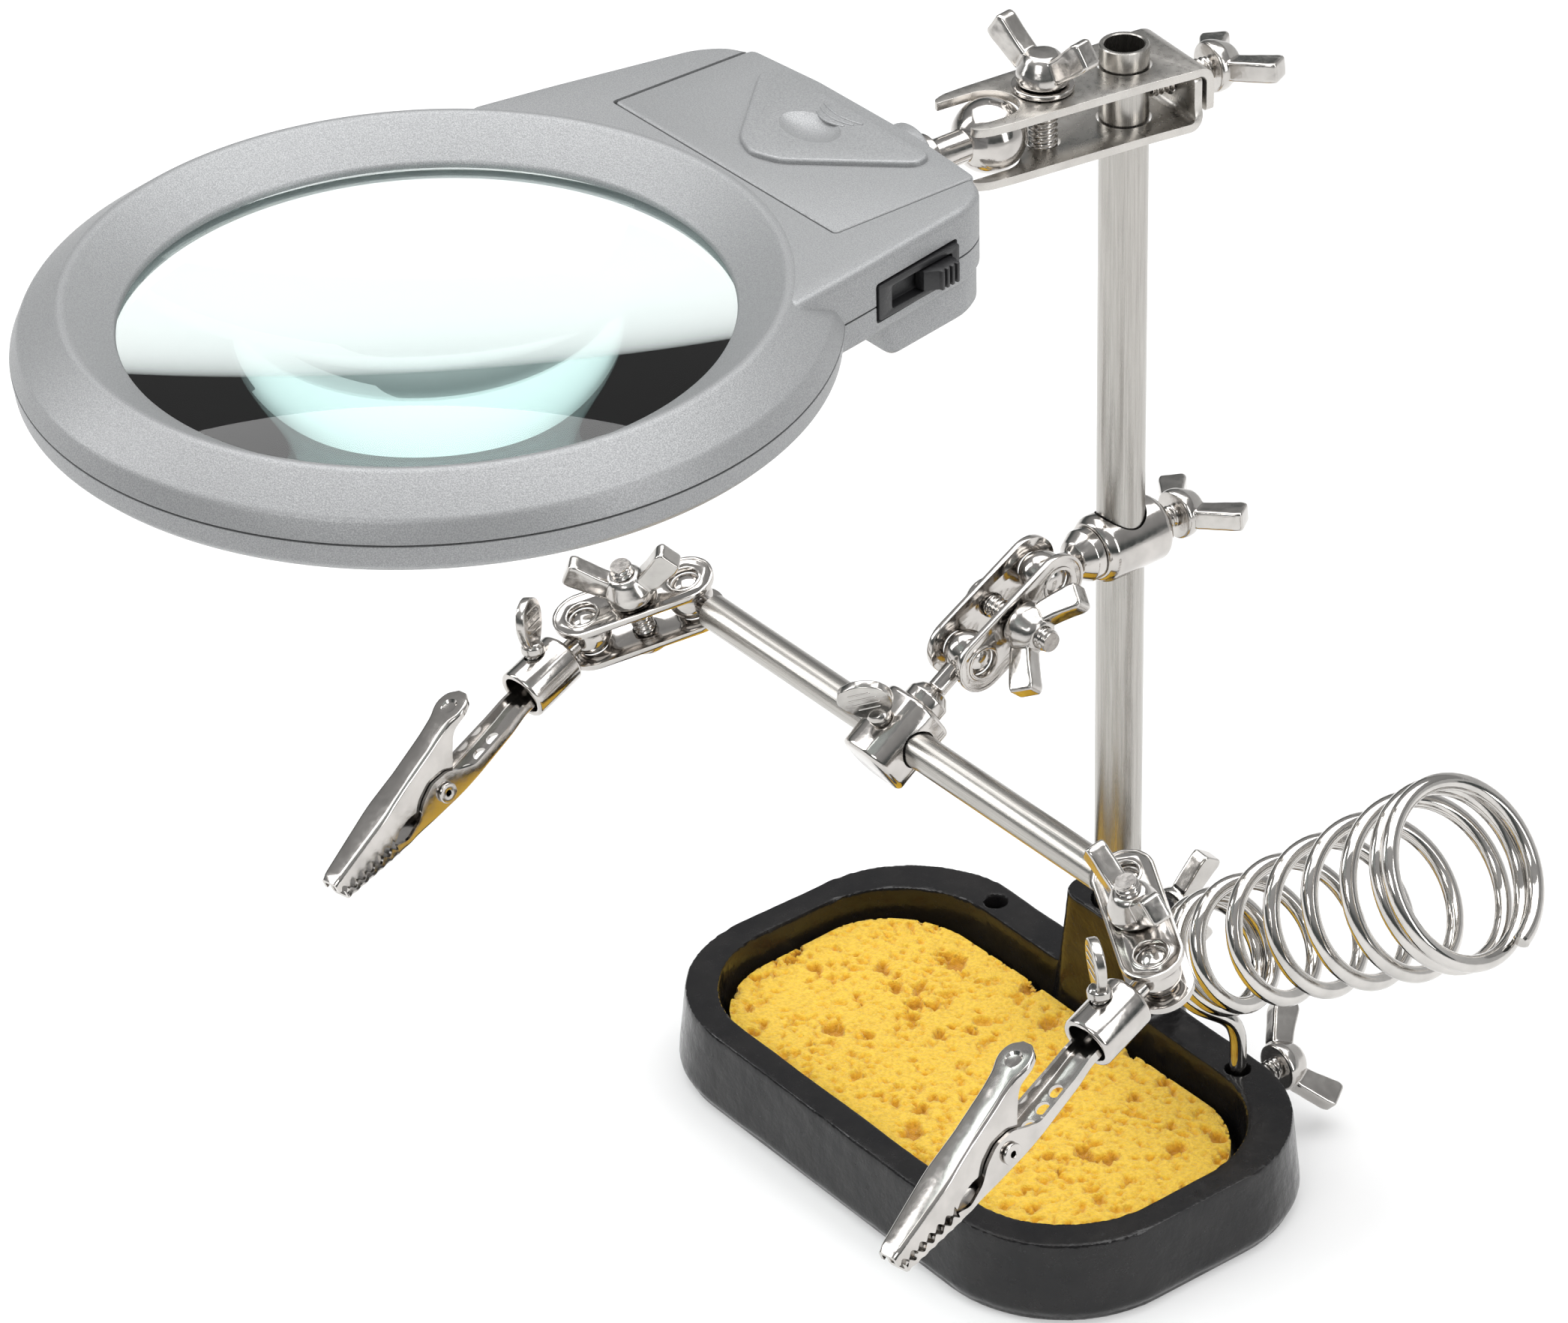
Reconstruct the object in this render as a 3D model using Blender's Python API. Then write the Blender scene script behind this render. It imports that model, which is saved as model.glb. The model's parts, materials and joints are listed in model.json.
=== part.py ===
"""Soldering iron station: a third-hand stand with a magnifier.

World frame: metres, +Z up.  The origin is the centre of the base's underside,
+X runs along the base's long side, +Y points to the post side (the back).
Every shape is drawn in millimetres in its own frame and scaled by MM.
"""
import math

import bmesh
import bpy
from mathutils import Matrix, Vector

MM = 0.001

# base casting
BASE_LENGTH = 111.4
BASE_WIDTH = 66.9
BASE_HEIGHT = 15.5
BASE_CORNER = 23.7
BASE_FLARE = 1.4
RIM_END = 5.6
RIM_FRONT = 5.6
RIM_BACK = 7.9
TRAY_CORNER = 19.6
TRAY_FLOOR = 4.2
BOSS_HALF_WIDTH = 9.5
BOSS_FRONT = 23.6
BOSS_BACK = 37.2
BOSS_HEIGHT = 33.0
SPONGE_BOTTOM = 4.5
SPONGE_TOP = 11.0
HOLDER_X = 31.8
HOLDER_Y = 29.0
HOLDER_SCREW_Z = 11.2
POST_SCREW_Z = 24.5

# post
POST_Y = 29.5
POST_RADIUS = 4.0
POST_BORE = 3.2
POST_BOTTOM = 5.0
POST_TOP = 195.5
FIT_GAP = 0.35

# iron holder coil
WIRE_RADIUS = 1.45
COIL_AZIMUTH = math.radians(11.3)
COIL_ELEVATION = math.radians(37.9)
COIL_START = Vector((23.5, 28.9, 33.7))
COIL_LENGTH = 65.6
COIL_SMALL_RADIUS = 9.2
COIL_LARGE_RADIUS = 15.0
COIL_TURNS = 9
COIL_TIGHT_PITCH = 3.1
COIL_LEAD_IN = math.radians(45.0)
COIL_STEPS = 16
WIRE_SIDES = 6

# top clamp and magnifier
CLAMP_Z = 186.6
BALL = Vector((-3.0, 4.5, CLAMP_Z))
BALL_RADIUS = 6.0
CLAMP_PLATE = 1.4
CLAMP_INSIDE = 3.95
LENS_X = 106.2
APERTURE = 45.3
RIDGE = 52.6
RING_OUTER = 61.0
SEAM_Z = 5.0
RIDGE_Z = 12.9
LIP_Z = 7.8
SHOULDER_Z = 8.3
RING_BOTTOM_Z = -0.1
NECK_TOP_Z = 12.6
BLOCK_BOTTOM_Z = -5.8
SWITCH_AT = (43.5, 36.1, 5.4)
SWITCH_TAPER = math.radians(8.8)
SHELL = 1.8
COVER_SHEET = 1.6
BAY_FAR = 52.0
BAY_HALF = 27.5
CELL_RADIUS = 5.1
CELL_LENGTH = 44.5
CELL_Z = 5.8
CELL_SPOTS = (36.3, 46.9)
RING_STEPS = 36

# ball links
LINK_LENGTH = 18.0
LINK_WIDTH = 10.3
LINK_INSIDE = 3.1
LINK_PLATE = 1.2
LINK_BALL = 3.9
LINK_HOLE = 2.6

# arms
COLLAR_Z = 104.6
LINK_A = Vector((0.0, 12.8, COLLAR_Z))
CENTRE_DROP = math.radians(29.2)
BAR_CENTRE = Vector((0.0, -17.8, 86.1))
BAR_RADIUS = 3.0
BAR_LEFT = -55.2
BAR_RIGHT = 57.5
BAR_END_GAP = 6.2
ARM_TILT = math.radians(18.3)
LEFT_LINK_ANGLE = math.radians(241.9)
RIGHT_LINK_ANGLE = math.radians(-28.4)
CLIP_ANGLE = math.radians(-82.8)
SOCKET_ROLL = math.radians(8.0)
THUMB_LEAN = math.radians(20.0)
CLIP_ROLL = math.radians(6.0)
LEFT_LEAF_TURN = math.radians(27.0)
RIGHT_LEAF_TURN = math.radians(60.0)
SOCKET_START = 6.2
SOCKET_END = 16.9
SOCKET_RADIUS = 4.6
SOCKET_BORE = 3.5
RIVET_X = 38.8
RIVET_DROP = 1.2
SHEET = 0.6

BRIGHT_STEEL = ((0.78, 0.76, 0.73, 1.0), 0.18, 1.0)
SATIN_STEEL = ((0.62, 0.60, 0.57, 1.0), 0.34, 1.0)
SILVER_PLASTIC = ((0.40, 0.41, 0.42, 1.0), 0.45, 0.0)
BLACK_CASTING = ((0.012, 0.012, 0.014, 1.0), 0.32, 0.0)
BLACK_PLASTIC = ((0.015, 0.015, 0.015, 1.0), 0.4, 0.0)
YELLOW_SPONGE = ((0.9, 0.55, 0.07, 1.0), 0.95, 0.0)
CLEAR_GLASS = ((0.75, 0.9, 0.87, 1.0), 0.05, 0.0)
CELL_JACKET = ((0.05, 0.12, 0.3, 1.0), 0.4, 0.0)
LED_CLEAR = ((0.9, 0.9, 0.85, 1.0), 0.2, 0.0)


# ---------------------------------------------------------------- helpers

def clear_scene():
    for item in list(bpy.data.objects):
        bpy.data.objects.remove(item, do_unlink=True)


def make_material(name, look):
    colour, roughness, metallic = look
    material = bpy.data.materials.new(name)
    material.use_nodes = True
    shader = material.node_tree.nodes["Principled BSDF"]
    shader.inputs["Base Color"].default_value = colour
    shader.inputs["Roughness"].default_value = roughness
    shader.inputs["Metallic"].default_value = metallic
    material.diffuse_color = colour
    return material


def new_object(name, mesh):
    item = bpy.data.objects.new(name, mesh)
    bpy.context.scene.collection.objects.link(item)
    return item


def mesh_from(bm, name):
    bmesh.ops.recalc_face_normals(bm, faces=bm.faces)
    mesh = bpy.data.meshes.new(name)
    bm.to_mesh(mesh)
    bm.free()
    return mesh


def frame(name, origin, x_axis, z_axis):
    """An empty whose local X and Z follow the two given directions."""
    x_dir = Vector(x_axis).normalized()
    y_dir = Vector(z_axis).cross(x_dir).normalized()
    z_dir = x_dir.cross(y_dir)
    basis = Matrix((x_dir, y_dir, z_dir)).transposed().to_4x4()
    basis.translation = Vector(origin) * MM
    empty = bpy.data.objects.new(name, None)
    empty.empty_display_size = 0.01
    bpy.context.scene.collection.objects.link(empty)
    empty.matrix_world = basis
    return empty


def finish(name, mesh, look, parent=None, at=(0, 0, 0), turn=(0, 0, 0), smooth=True):
    """Scale a millimetre mesh to metres, place it and give it its material."""
    mesh.transform(Matrix.Scale(MM, 4))
    mesh.name = name
    item = new_object(name, mesh)
    item.data.materials.clear()
    item.data.materials.append(make_material(name + "_material", look))
    item.parent = parent
    item.location = Vector(at) * MM
    item.rotation_euler = turn
    if smooth:
        item.data.shade_smooth()
        item.data.set_sharp_from_angle(angle=math.radians(32))
    return item


def boolean(mesh, others, operation):
    """Combine a mesh with others and return one new mesh; the inputs are removed."""
    body = new_object("body_tool", mesh)
    tools = []
    for index, other in enumerate(others):
        tool = new_object("tool_%d" % index, other)
        tools.append(tool)
        modifier = body.modifiers.new("cut_%d" % index, "BOOLEAN")
        modifier.object = tool
        modifier.operation = operation
        modifier.solver = "EXACT"
    graph = bpy.context.evaluated_depsgraph_get()
    result = bpy.data.meshes.new_from_object(body.evaluated_get(graph))
    for item in [body] + tools:
        old = item.data
        bpy.data.objects.remove(item, do_unlink=True)
        bpy.data.meshes.remove(old)
    clean = bmesh.new()
    clean.from_mesh(result)
    bmesh.ops.remove_doubles(clean, verts=clean.verts, dist=0.0005)
    bmesh.ops.dissolve_degenerate(clean, edges=clean.edges, dist=0.0005)
    bmesh.ops.triangulate(clean, faces=[f for f in clean.faces if len(f.verts) > 4])
    clean.to_mesh(result)
    clean.free()
    return result


def cut(mesh, *others):
    return boolean(mesh, others, "DIFFERENCE")


def join(mesh, *others):
    return boolean(mesh, others, "UNION")


def moved(mesh, offset=(0, 0, 0), axis=None, angle=0.0):
    if axis is not None:
        mesh.transform(Matrix.Rotation(angle, 4, axis))
    mesh.transform(Matrix.Translation(Vector(offset)))
    return mesh


def prism(outline, low, high, top_outline=None):
    """A closed solid from an outline in the XY plane, between two heights."""
    bm = bmesh.new()
    upper = top_outline if top_outline else outline
    bottom = [bm.verts.new((x, y, low)) for x, y in outline]
    top = [bm.verts.new((x, y, high)) for x, y in upper]
    count = len(bottom)
    bm.faces.new(list(reversed(bottom)))
    bm.faces.new(top)
    for i in range(count):
        j = (i + 1) % count
        bm.faces.new((bottom[i], bottom[j], top[j], top[i]))
    return mesh_from(bm, "prism")


def side_prism(outline, half_width):
    """A prism whose outline lies in the XZ plane, centred on Y = 0."""
    mesh = prism(outline, -half_width, half_width)
    mesh.transform(Matrix(((1, 0, 0, 0), (0, 0, 1, 0), (0, 1, 0, 0), (0, 0, 0, 1))))
    bm = bmesh.new()
    bm.from_mesh(mesh)
    bmesh.ops.recalc_face_normals(bm, faces=bm.faces)
    bm.to_mesh(mesh)
    bm.free()
    return mesh


def lathe(profile, steps, axis="Z"):
    """Revolve a closed (radius, height) profile; points on the axis close the ends."""
    bm = bmesh.new()
    rings = []
    for radius, height in profile:
        if radius < 1e-6:
            rings.append([bm.verts.new((0, 0, height))])
            continue
        ring = []
        for i in range(steps):
            angle = 2 * math.pi * i / steps
            ring.append(bm.verts.new((radius * math.cos(angle), radius * math.sin(angle), height)))
        rings.append(ring)
    closed = len(rings[0]) > 1 and len(rings[-1]) > 1
    pairs = list(zip(rings, rings[1:]))
    if closed:
        pairs.append((rings[-1], rings[0]))
    for first, second in pairs:
        for i in range(steps):
            j = (i + 1) % steps
            if len(first) == 1:
                bm.faces.new((first[0], second[i], second[j]))
            elif len(second) == 1:
                bm.faces.new((first[i], first[j], second[0]))
            else:
                bm.faces.new((first[i], first[j], second[j], second[i]))
    mesh = mesh_from(bm, "lathe")
    if axis == "X":
        mesh.transform(Matrix.Rotation(math.pi / 2, 4, "Y"))
    if axis == "Y":
        mesh.transform(Matrix.Rotation(-math.pi / 2, 4, "X"))
    return mesh


def rod(radius, low, high, steps=12, axis="Z"):
    return lathe([(0, low), (radius, low), (radius, high), (0, high)], steps, axis)


def pipe(outer, inner, low, high, steps=16, axis="Z"):
    return lathe([(inner, low), (outer, low), (outer, high), (inner, high)], steps, axis)


def rounded_rectangle(x_low, x_high, y_low, y_high, radius, steps=8):
    corners = ((x_high - radius, y_high - radius, 0.0), (x_low + radius, y_high - radius, 0.5),
               (x_low + radius, y_low + radius, 1.0), (x_high - radius, y_low + radius, 1.5))
    points = []
    for cx, cy, start in corners:
        for i in range(steps + 1):
            angle = math.pi * (start + 0.5 * i / steps)
            points.append((cx + radius * math.cos(angle), cy + radius * math.sin(angle)))
    return points


def arc_points(cx, cy, radius, start, end, steps):
    points = []
    for i in range(steps + 1):
        angle = math.radians(start + (end - start) * i / steps)
        points.append((cx + radius * math.cos(angle), cy + radius * math.sin(angle)))
    return points


def sweep(points, radius, sides):
    """A round wire along a list of points, with flat closed ends."""
    bm = bmesh.new()
    rings = []
    normal = None
    for i, point in enumerate(points):
        ahead = points[min(i + 1, len(points) - 1)]
        behind = points[max(i - 1, 0)]
        along = (ahead - behind).normalized()
        if normal is None:
            normal = along.orthogonal().normalized()
        normal = (normal - along * normal.dot(along)).normalized()
        other = along.cross(normal)
        ring = []
        for k in range(sides):
            angle = 2 * math.pi * k / sides
            ring.append(bm.verts.new(point + (normal * math.cos(angle) + other * math.sin(angle)) * radius))
        rings.append(ring)
    bm.faces.new(list(reversed(rings[0])))
    bm.faces.new(rings[-1])
    for first, second in zip(rings, rings[1:]):
        for k in range(sides):
            m = (k + 1) % sides
            bm.faces.new((first[k], first[m], second[m], second[k]))
    return mesh_from(bm, "wire")


def channel(stations, open_side):
    """A folded sheet channel lofted through (x, low, high, half width) stations."""
    bm = bmesh.new()
    rings = []
    for x, low, high, half in stations:
        web, edge = (low, high) if open_side > 0 else (high, low)
        inner = web + SHEET * open_side
        wall = half - SHEET
        ring = [(-half, edge), (-half, web), (half, web), (half, edge),
                (wall, edge), (wall, inner), (-wall, inner), (-wall, edge)]
        rings.append([bm.verts.new((x, y, z)) for y, z in ring])
    for first, second in zip(rings, rings[1:]):
        for k in range(8):
            m = (k + 1) % 8
            bm.faces.new((first[k], first[m], second[m], second[k]))
    for ring in (rings[0], rings[-1]):
        bm.faces.new((ring[0], ring[1], ring[6], ring[7]))
        bm.faces.new((ring[1], ring[2], ring[5], ring[6]))
        bm.faces.new((ring[2], ring[3], ring[4], ring[5]))
    return mesh_from(bm, "channel")


# ---------------------------------------------------------------- base

def build_base():
    half_l = BASE_LENGTH / 2
    half_w = BASE_WIDTH / 2

    def ring(grow):
        return rounded_rectangle(-half_l - grow, half_l + grow, -half_w - grow, half_w + grow,
                                 BASE_CORNER + grow)

    lower = prism(ring(0.2), 0.0, 2.2, ring(BASE_FLARE))
    upper = prism(ring(BASE_FLARE), 2.2, BASE_HEIGHT, ring(0.0))
    bm = bmesh.new()
    bm.from_mesh(lower)
    bm.from_mesh(upper)
    bpy.data.meshes.remove(lower)
    bpy.data.meshes.remove(upper)
    inside = [f for f in bm.faces if abs(f.calc_center_median().z - 2.2) < 1e-4 and len(f.verts) > 4]
    bmesh.ops.delete(bm, geom=inside, context="FACES_ONLY")
    bmesh.ops.remove_doubles(bm, verts=bm.verts, dist=0.001)
    body = mesh_from(bm, "base")
    boss_low = rounded_rectangle(-BOSS_HALF_WIDTH - 4.0, BOSS_HALF_WIDTH + 4.0, BOSS_FRONT,
                                 BOSS_BACK + 0.6, 3.0, 3)
    boss_high = rounded_rectangle(-BOSS_HALF_WIDTH + 0.6, BOSS_HALF_WIDTH - 0.6, BOSS_FRONT + 0.3,
                                  BOSS_BACK - 0.5, 3.0, 3)
    boss = prism(boss_low, 0.0, BOSS_HEIGHT, boss_high)
    tray_outline = rounded_rectangle(-half_l + RIM_END, half_l - RIM_END, -half_w + RIM_FRONT,
                                     half_w - RIM_BACK, TRAY_CORNER)
    floor_outline = rounded_rectangle(-half_l + RIM_END + 0.6, half_l - RIM_END - 0.6,
                                      -half_w + RIM_FRONT + 0.6, half_w - RIM_BACK - 0.6,
                                      TRAY_CORNER - 0.6)
    tray = prism(floor_outline, TRAY_FLOOR, BASE_HEIGHT + 1.0, tray_outline)
    body = cut(body, tray)
    body = join(body, boss)
    post_bore = moved(rod(POST_RADIUS + FIT_GAP, POST_BOTTOM - 0.4, 40.0, 20), (0, POST_Y, 0))
    leg_bore = moved(rod(WIRE_RADIUS + 0.4, 3.5, 20.0, 10), (HOLDER_X, HOLDER_Y, 0))
    spare_bore = moved(rod(WIRE_RADIUS + 0.4, 3.5, 20.0, 10), (-HOLDER_X, HOLDER_Y, 0))
    post_tap = moved(rod(2.3, POST_Y, 45.0, 10, "Y"), (0, 0, POST_SCREW_Z))
    leg_tap = moved(rod(2.3, HOLDER_Y, 40.0, 10, "Y"), (HOLDER_X, 0, HOLDER_SCREW_Z))
    body = cut(body, post_bore, leg_bore, spare_bore, post_tap, leg_tap)
    return finish("base_casting", body, BLACK_CASTING)


def build_sponge():
    half_l = BASE_LENGTH / 2 - RIM_END - 1.2
    outline = rounded_rectangle(-half_l, half_l, -BASE_WIDTH / 2 + RIM_FRONT + 1.2, 22.9, TRAY_CORNER - 1.6, 6)
    return finish("cleaning_sponge", prism(outline, SPONGE_BOTTOM, SPONGE_TOP), YELLOW_SPONGE)


def wing_outline():
    side = [(4.9, 1.9), (9.6, 5.6), (10.2, 7.6), (9.6, 9.2), (8.3, 9.5), (4.6, 6.0), (1.8, 4.4)]
    left = [(-x, z) for x, z in reversed(side)]
    return [(0.0, 1.0)] + side + left


def wing_head(bore=0.0, shaft=0.0, shaft_length=0.0):
    """A winged head seated at Z = 0, with either a through bore or a shaft below."""
    wings = side_prism(wing_outline(), 1.7)
    if shaft > 0.0:
        hub = lathe([(0, -shaft_length), (shaft, -shaft_length), (shaft, 0), (4.2, 0), (4.2, 1.4),
                     (3.5, 4.2), (2.2, 5.4), (0, 5.7)], 10)
        return join(hub, wings)
    hub = lathe([(0, 0), (4.2, 0), (4.2, 1.4), (3.5, 4.8), (0, 4.8)], 10)
    return cut(join(hub, wings), rod(bore, -1.0, 12.0, 10))


def build_screw(name, head_at, direction, wing_dir, shaft, shaft_length):
    """A wing screw; its head sits at head_at and its shaft points against direction."""
    holder = frame(name + "_frame", head_at, wing_dir, direction)
    return finish(name, wing_head(0.0, shaft, shaft_length), BRIGHT_STEEL, holder)


def build_base_screws():
    build_screw("post_wing_screw", (0, 41.4, POST_SCREW_Z), (0, 1, 0), (0.1, 0, 1), 1.95, 7.4)
    build_screw("holder_wing_screw", (HOLDER_X, 37.6, HOLDER_SCREW_Z), (0, 1, 0), (1, 0, -0.9), 1.95, 6.6)


def build_post():
    tube = pipe(POST_RADIUS, POST_BORE, POST_BOTTOM, POST_TOP, 24)
    return finish("post_tube", tube, SATIN_STEEL, frame("post_frame", (0, POST_Y, 0), (1, 0, 0), (0, 0, 1)))


def coil_distance(turn):
    """Distance along the coil's axis: close turns at both ends, open turns between."""
    open_pitch = (COIL_LENGTH - 4 * COIL_TIGHT_PITCH) / (COIL_TURNS - 4)
    close = min(turn, 2.0) + max(turn - COIL_TURNS + 2, 0.0)
    return close * COIL_TIGHT_PITCH + min(max(turn - 2.0, 0.0), COIL_TURNS - 4) * open_pitch


def coil_point(turn):
    along = Vector((math.cos(COIL_AZIMUTH) * math.cos(COIL_ELEVATION),
                    math.sin(COIL_AZIMUTH) * math.cos(COIL_ELEVATION), math.sin(COIL_ELEVATION)))
    side = Vector((math.sin(COIL_AZIMUTH), -math.cos(COIL_AZIMUTH), 0.0))
    up = along.cross(side) * -1.0
    distance = coil_distance(turn)
    share = min(distance / (COIL_LENGTH - COIL_TIGHT_PITCH), 1.0)
    radius = COIL_SMALL_RADIUS + (COIL_LARGE_RADIUS - COIL_SMALL_RADIUS) * share
    angle = 2 * math.pi * turn
    return COIL_START + along * distance + (side * math.sin(angle) - up * math.cos(angle)) * radius


def coil_path():
    """The leg rises from the base and bends into the first turn."""
    first = COIL_LEAD_IN / (2 * math.pi)
    tangent = (coil_point(first + 0.01) - coil_point(first)).normalized()
    leg_top = Vector((HOLDER_X, HOLDER_Y, 19.5))
    controls = (leg_top, leg_top + Vector((0, 0, 7.0)), coil_point(first) - tangent * 4.5, coil_point(first))
    points = [Vector((HOLDER_X, HOLDER_Y, z)) for z in (4.6, 12.0)]
    for i in range(7):
        t = i / 7
        weights = ((1 - t) ** 3, 3 * t * (1 - t) ** 2, 3 * t * t * (1 - t), t ** 3)
        points.append(sum((c * w for c, w in zip(controls, weights)), Vector()))
    steps = round((COIL_TURNS - first) * COIL_STEPS)
    for i in range(steps + 1):
        points.append(coil_point(first + (COIL_TURNS - 0.03 - first) * i / steps))
    return points


def build_coil():
    origin = Vector((HOLDER_X, HOLDER_Y, 0.0))
    points = [p - origin for p in coil_path()]
    holder = frame("coil_frame", origin, (1, 0, 0), (0, 0, 1))
    return finish("iron_holder_coil", sweep(points, WIRE_RADIUS, WIRE_SIDES), BRIGHT_STEEL, holder)


# ---------------------------------------------------------------- top clamp

def clamp_frame():
    toward = Vector((BALL.x, BALL.y - POST_Y, 0.0))
    return frame("clamp_frame", (0, POST_Y, CLAMP_Z), toward, (0, 0, 1)), toward.length


def clamp_outline(reach, tail):
    side = [(-tail, 8.4), (0.7, 7.8), (reach, 7.2), (reach + 4.0, 6.9), (reach + 6.4, 5.9)]
    mirror = [(x, -y) for x, y in reversed(side)]
    return side + mirror


def build_clamp():
    holder, reach = clamp_frame()
    outline = clamp_outline(reach, 10.9)
    bolt_x = reach - 10.0

    def plate(low, high):
        sheet = prism(outline, low, high)
        slot = prism(arc_points(reach, 0, 4.8, 90, 270, 10) + [(reach + 12, -4.8), (reach + 12, 4.8)],
                     low - 1, high + 1)
        return cut(sheet, slot, rod(POST_RADIUS + 0.4, low - 1, high + 1, 18),
                   moved(rod(2.8, low - 1, high + 1, 10), (bolt_x, 0, 0)))

    top_low = CLAMP_INSIDE
    top_high = CLAMP_INSIDE + CLAMP_PLATE
    outer_flange = prism(rounded_rectangle(-11.6, -10.2, -8.0, 8.0, 0.4, 1), -2.7, top_high - 0.1)
    end_hole = rod(2.3, -16.0, -6.0, 12, "X")
    upper = cut(join(plate(top_low, top_high), outer_flange), end_hole)
    finish("upper_clamp_plate", upper, BRIGHT_STEEL, holder)
    inner_flange = prism(rounded_rectangle(-9.6, -8.2, -7.6, 7.6, 0.4, 1), 0.1 - top_high, 3.4)
    tail = prism([(-9.0, -12), (-20, -12), (-20, 12), (-9.0, 12)], -9, 9)
    lower_plate = cut(plate(-top_high, -top_low), tail)
    lower = cut(join(lower_plate, inner_flange), rod(2.3, -16.0, -6.0, 12, "X"))
    finish("lower_clamp_plate", lower, BRIGHT_STEEL, holder)
    bolt = wing_head(0.0, 2.4, 12.4)
    finish("clamp_wing_bolt", bolt, BRIGHT_STEEL, holder, (bolt_x, 0, top_high + 1.2),
           (0, 0, math.radians(106)))
    washer = pipe(5.0, 2.8, top_high + 0.15, top_high + 1.0, 16)
    finish("clamp_washer", washer, BRIGHT_STEEL, holder, (bolt_x, 0, 0))
    away = Vector((-BALL.x, POST_Y - BALL.y, 0.0)).normalized()
    head = Vector((0, POST_Y, CLAMP_Z)) + away * 15.8
    build_screw("clamp_end_wing_screw", head, away, Vector((away.y, -away.x, 0.15)), 1.95, 11.4)


# ---------------------------------------------------------------- magnifier

def neck_outline(inset):
    """Half-symmetric plan of the neck, X away from the ball, Y across."""
    side = [(23.6, 12.0), (24.8, 26.2), (27.0, 31.0), (31.5, 33.8), (56.0, 38.4), (70.0, 40.6)]
    return mirrored([(x + inset, y - inset) for x, y in side])


def mirrored(side):
    """Close a half outline with its mirror image across Y = 0."""
    return [(x, -y) for x, y in reversed(side)] + side


def block_outlines():
    """Plan of the battery block at its foot and where it meets the neck."""
    side = [(23.8, 11.8), (25.1, 25.9), (27.3, 30.6), (31.8, 33.4), (48.6, 36.2)]
    foot = mirrored(side)
    shoulder = [(x + (2.6 if x > 40 else 0.0), y) for x, y in foot]
    return foot, shoulder


def magnifier_solid():
    """The outside of the closed housing, before it is hollowed and split."""
    ring = lathe([(APERTURE, RING_BOTTOM_Z + 1.0), (APERTURE + 1.4, RING_BOTTOM_Z),
                  (RING_OUTER - 2.0, RING_BOTTOM_Z), (RING_OUTER - 0.4, RING_BOTTOM_Z + 1.6),
                  (RING_OUTER, SEAM_Z), (RING_OUTER - 1.4, SHOULDER_Z), (RIDGE + 0.8, RIDGE_Z - 0.2),
                  (RIDGE, RIDGE_Z), (APERTURE, LIP_Z)], RING_STEPS)
    moved(ring, (LENS_X, 0, 0))
    neck = prism(neck_outline(0.0), RING_BOTTOM_Z, NECK_TOP_Z - 1.4)
    crown = prism(neck_outline(0.0), NECK_TOP_Z - 1.4, NECK_TOP_Z, neck_outline(1.4))
    bm = bmesh.new()
    bm.from_mesh(neck)
    bm.from_mesh(crown)
    bpy.data.meshes.remove(neck)
    bpy.data.meshes.remove(crown)
    middle = NECK_TOP_Z - 1.4
    hidden = [f for f in bm.faces if abs(f.calc_center_median().z - middle) < 1e-4 and len(f.verts) > 4]
    bmesh.ops.delete(bm, geom=hidden, context="FACES_ONLY")
    bmesh.ops.remove_doubles(bm, verts=bm.verts, dist=0.001)
    neck = mesh_from(bm, "neck")
    neck = cut(neck, moved(rod(RIDGE - 0.4, -20, 30, RING_STEPS), (LENS_X, 0, 0)))
    foot, shoulder = block_outlines()
    block = prism(foot, BLOCK_BOTTOM_Z, RING_BOTTOM_Z + 1.0, shoulder)
    boss = moved(rod(6.2, 15.0, 25.2, 16, "X"), (0, 0, 0.9))
    return join(ring, neck, block, boss)


def magnifier_cavity():
    ring = lathe([(49.5, RING_BOTTOM_Z + SHELL), (RING_OUTER - 2.2, RING_BOTTOM_Z + SHELL),
                  (RING_OUTER - 3.4, SHOULDER_Z - 1.6), (RIDGE, RIDGE_Z - 2.2), (49.5, LIP_Z + 0.2)],
                 RING_STEPS)
    moved(ring, (LENS_X, 0, 0))
    side = [(25.8, 12.0), (26.8, 25.2), (28.8, 29.4), (32.6, 31.6), (52.4, 35.4)]
    neck = prism(mirrored(side), RING_BOTTOM_Z + SHELL, NECK_TOP_Z - SHELL)
    side = [(26.1, 11.7), (27.1, 24.9), (29.1, 29.0), (32.9, 31.2), (46.6, 34.0)]
    block = prism(mirrored(side), BLOCK_BOTTOM_Z + SHELL, RING_BOTTOM_Z + SHELL + 1.0)
    groove = moved(pipe(48.0, 40.0, 2.4, 7.0, RING_STEPS), (LENS_X, 0, 0))
    stud = rod(2.4, 5.0, 27.0, 12, "X")
    trough = moved(rod(CELL_RADIUS + 0.3, -22.8, 22.8, 16, "Y"), (CELL_SPOTS[1], 0, CELL_Z))
    return [ring, neck, block, groove, stud, trough]


def switch_window():
    window = prism(rounded_rectangle(-9.2, 9.2, -3.3, 3.3, 0.4, 1), -4.0, 4.0)
    window.transform(Matrix.Rotation(math.pi / 2, 4, "X"))
    window.transform(Matrix.Rotation(SWITCH_TAPER, 4, "Z"))
    return moved(window, SWITCH_AT)


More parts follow.
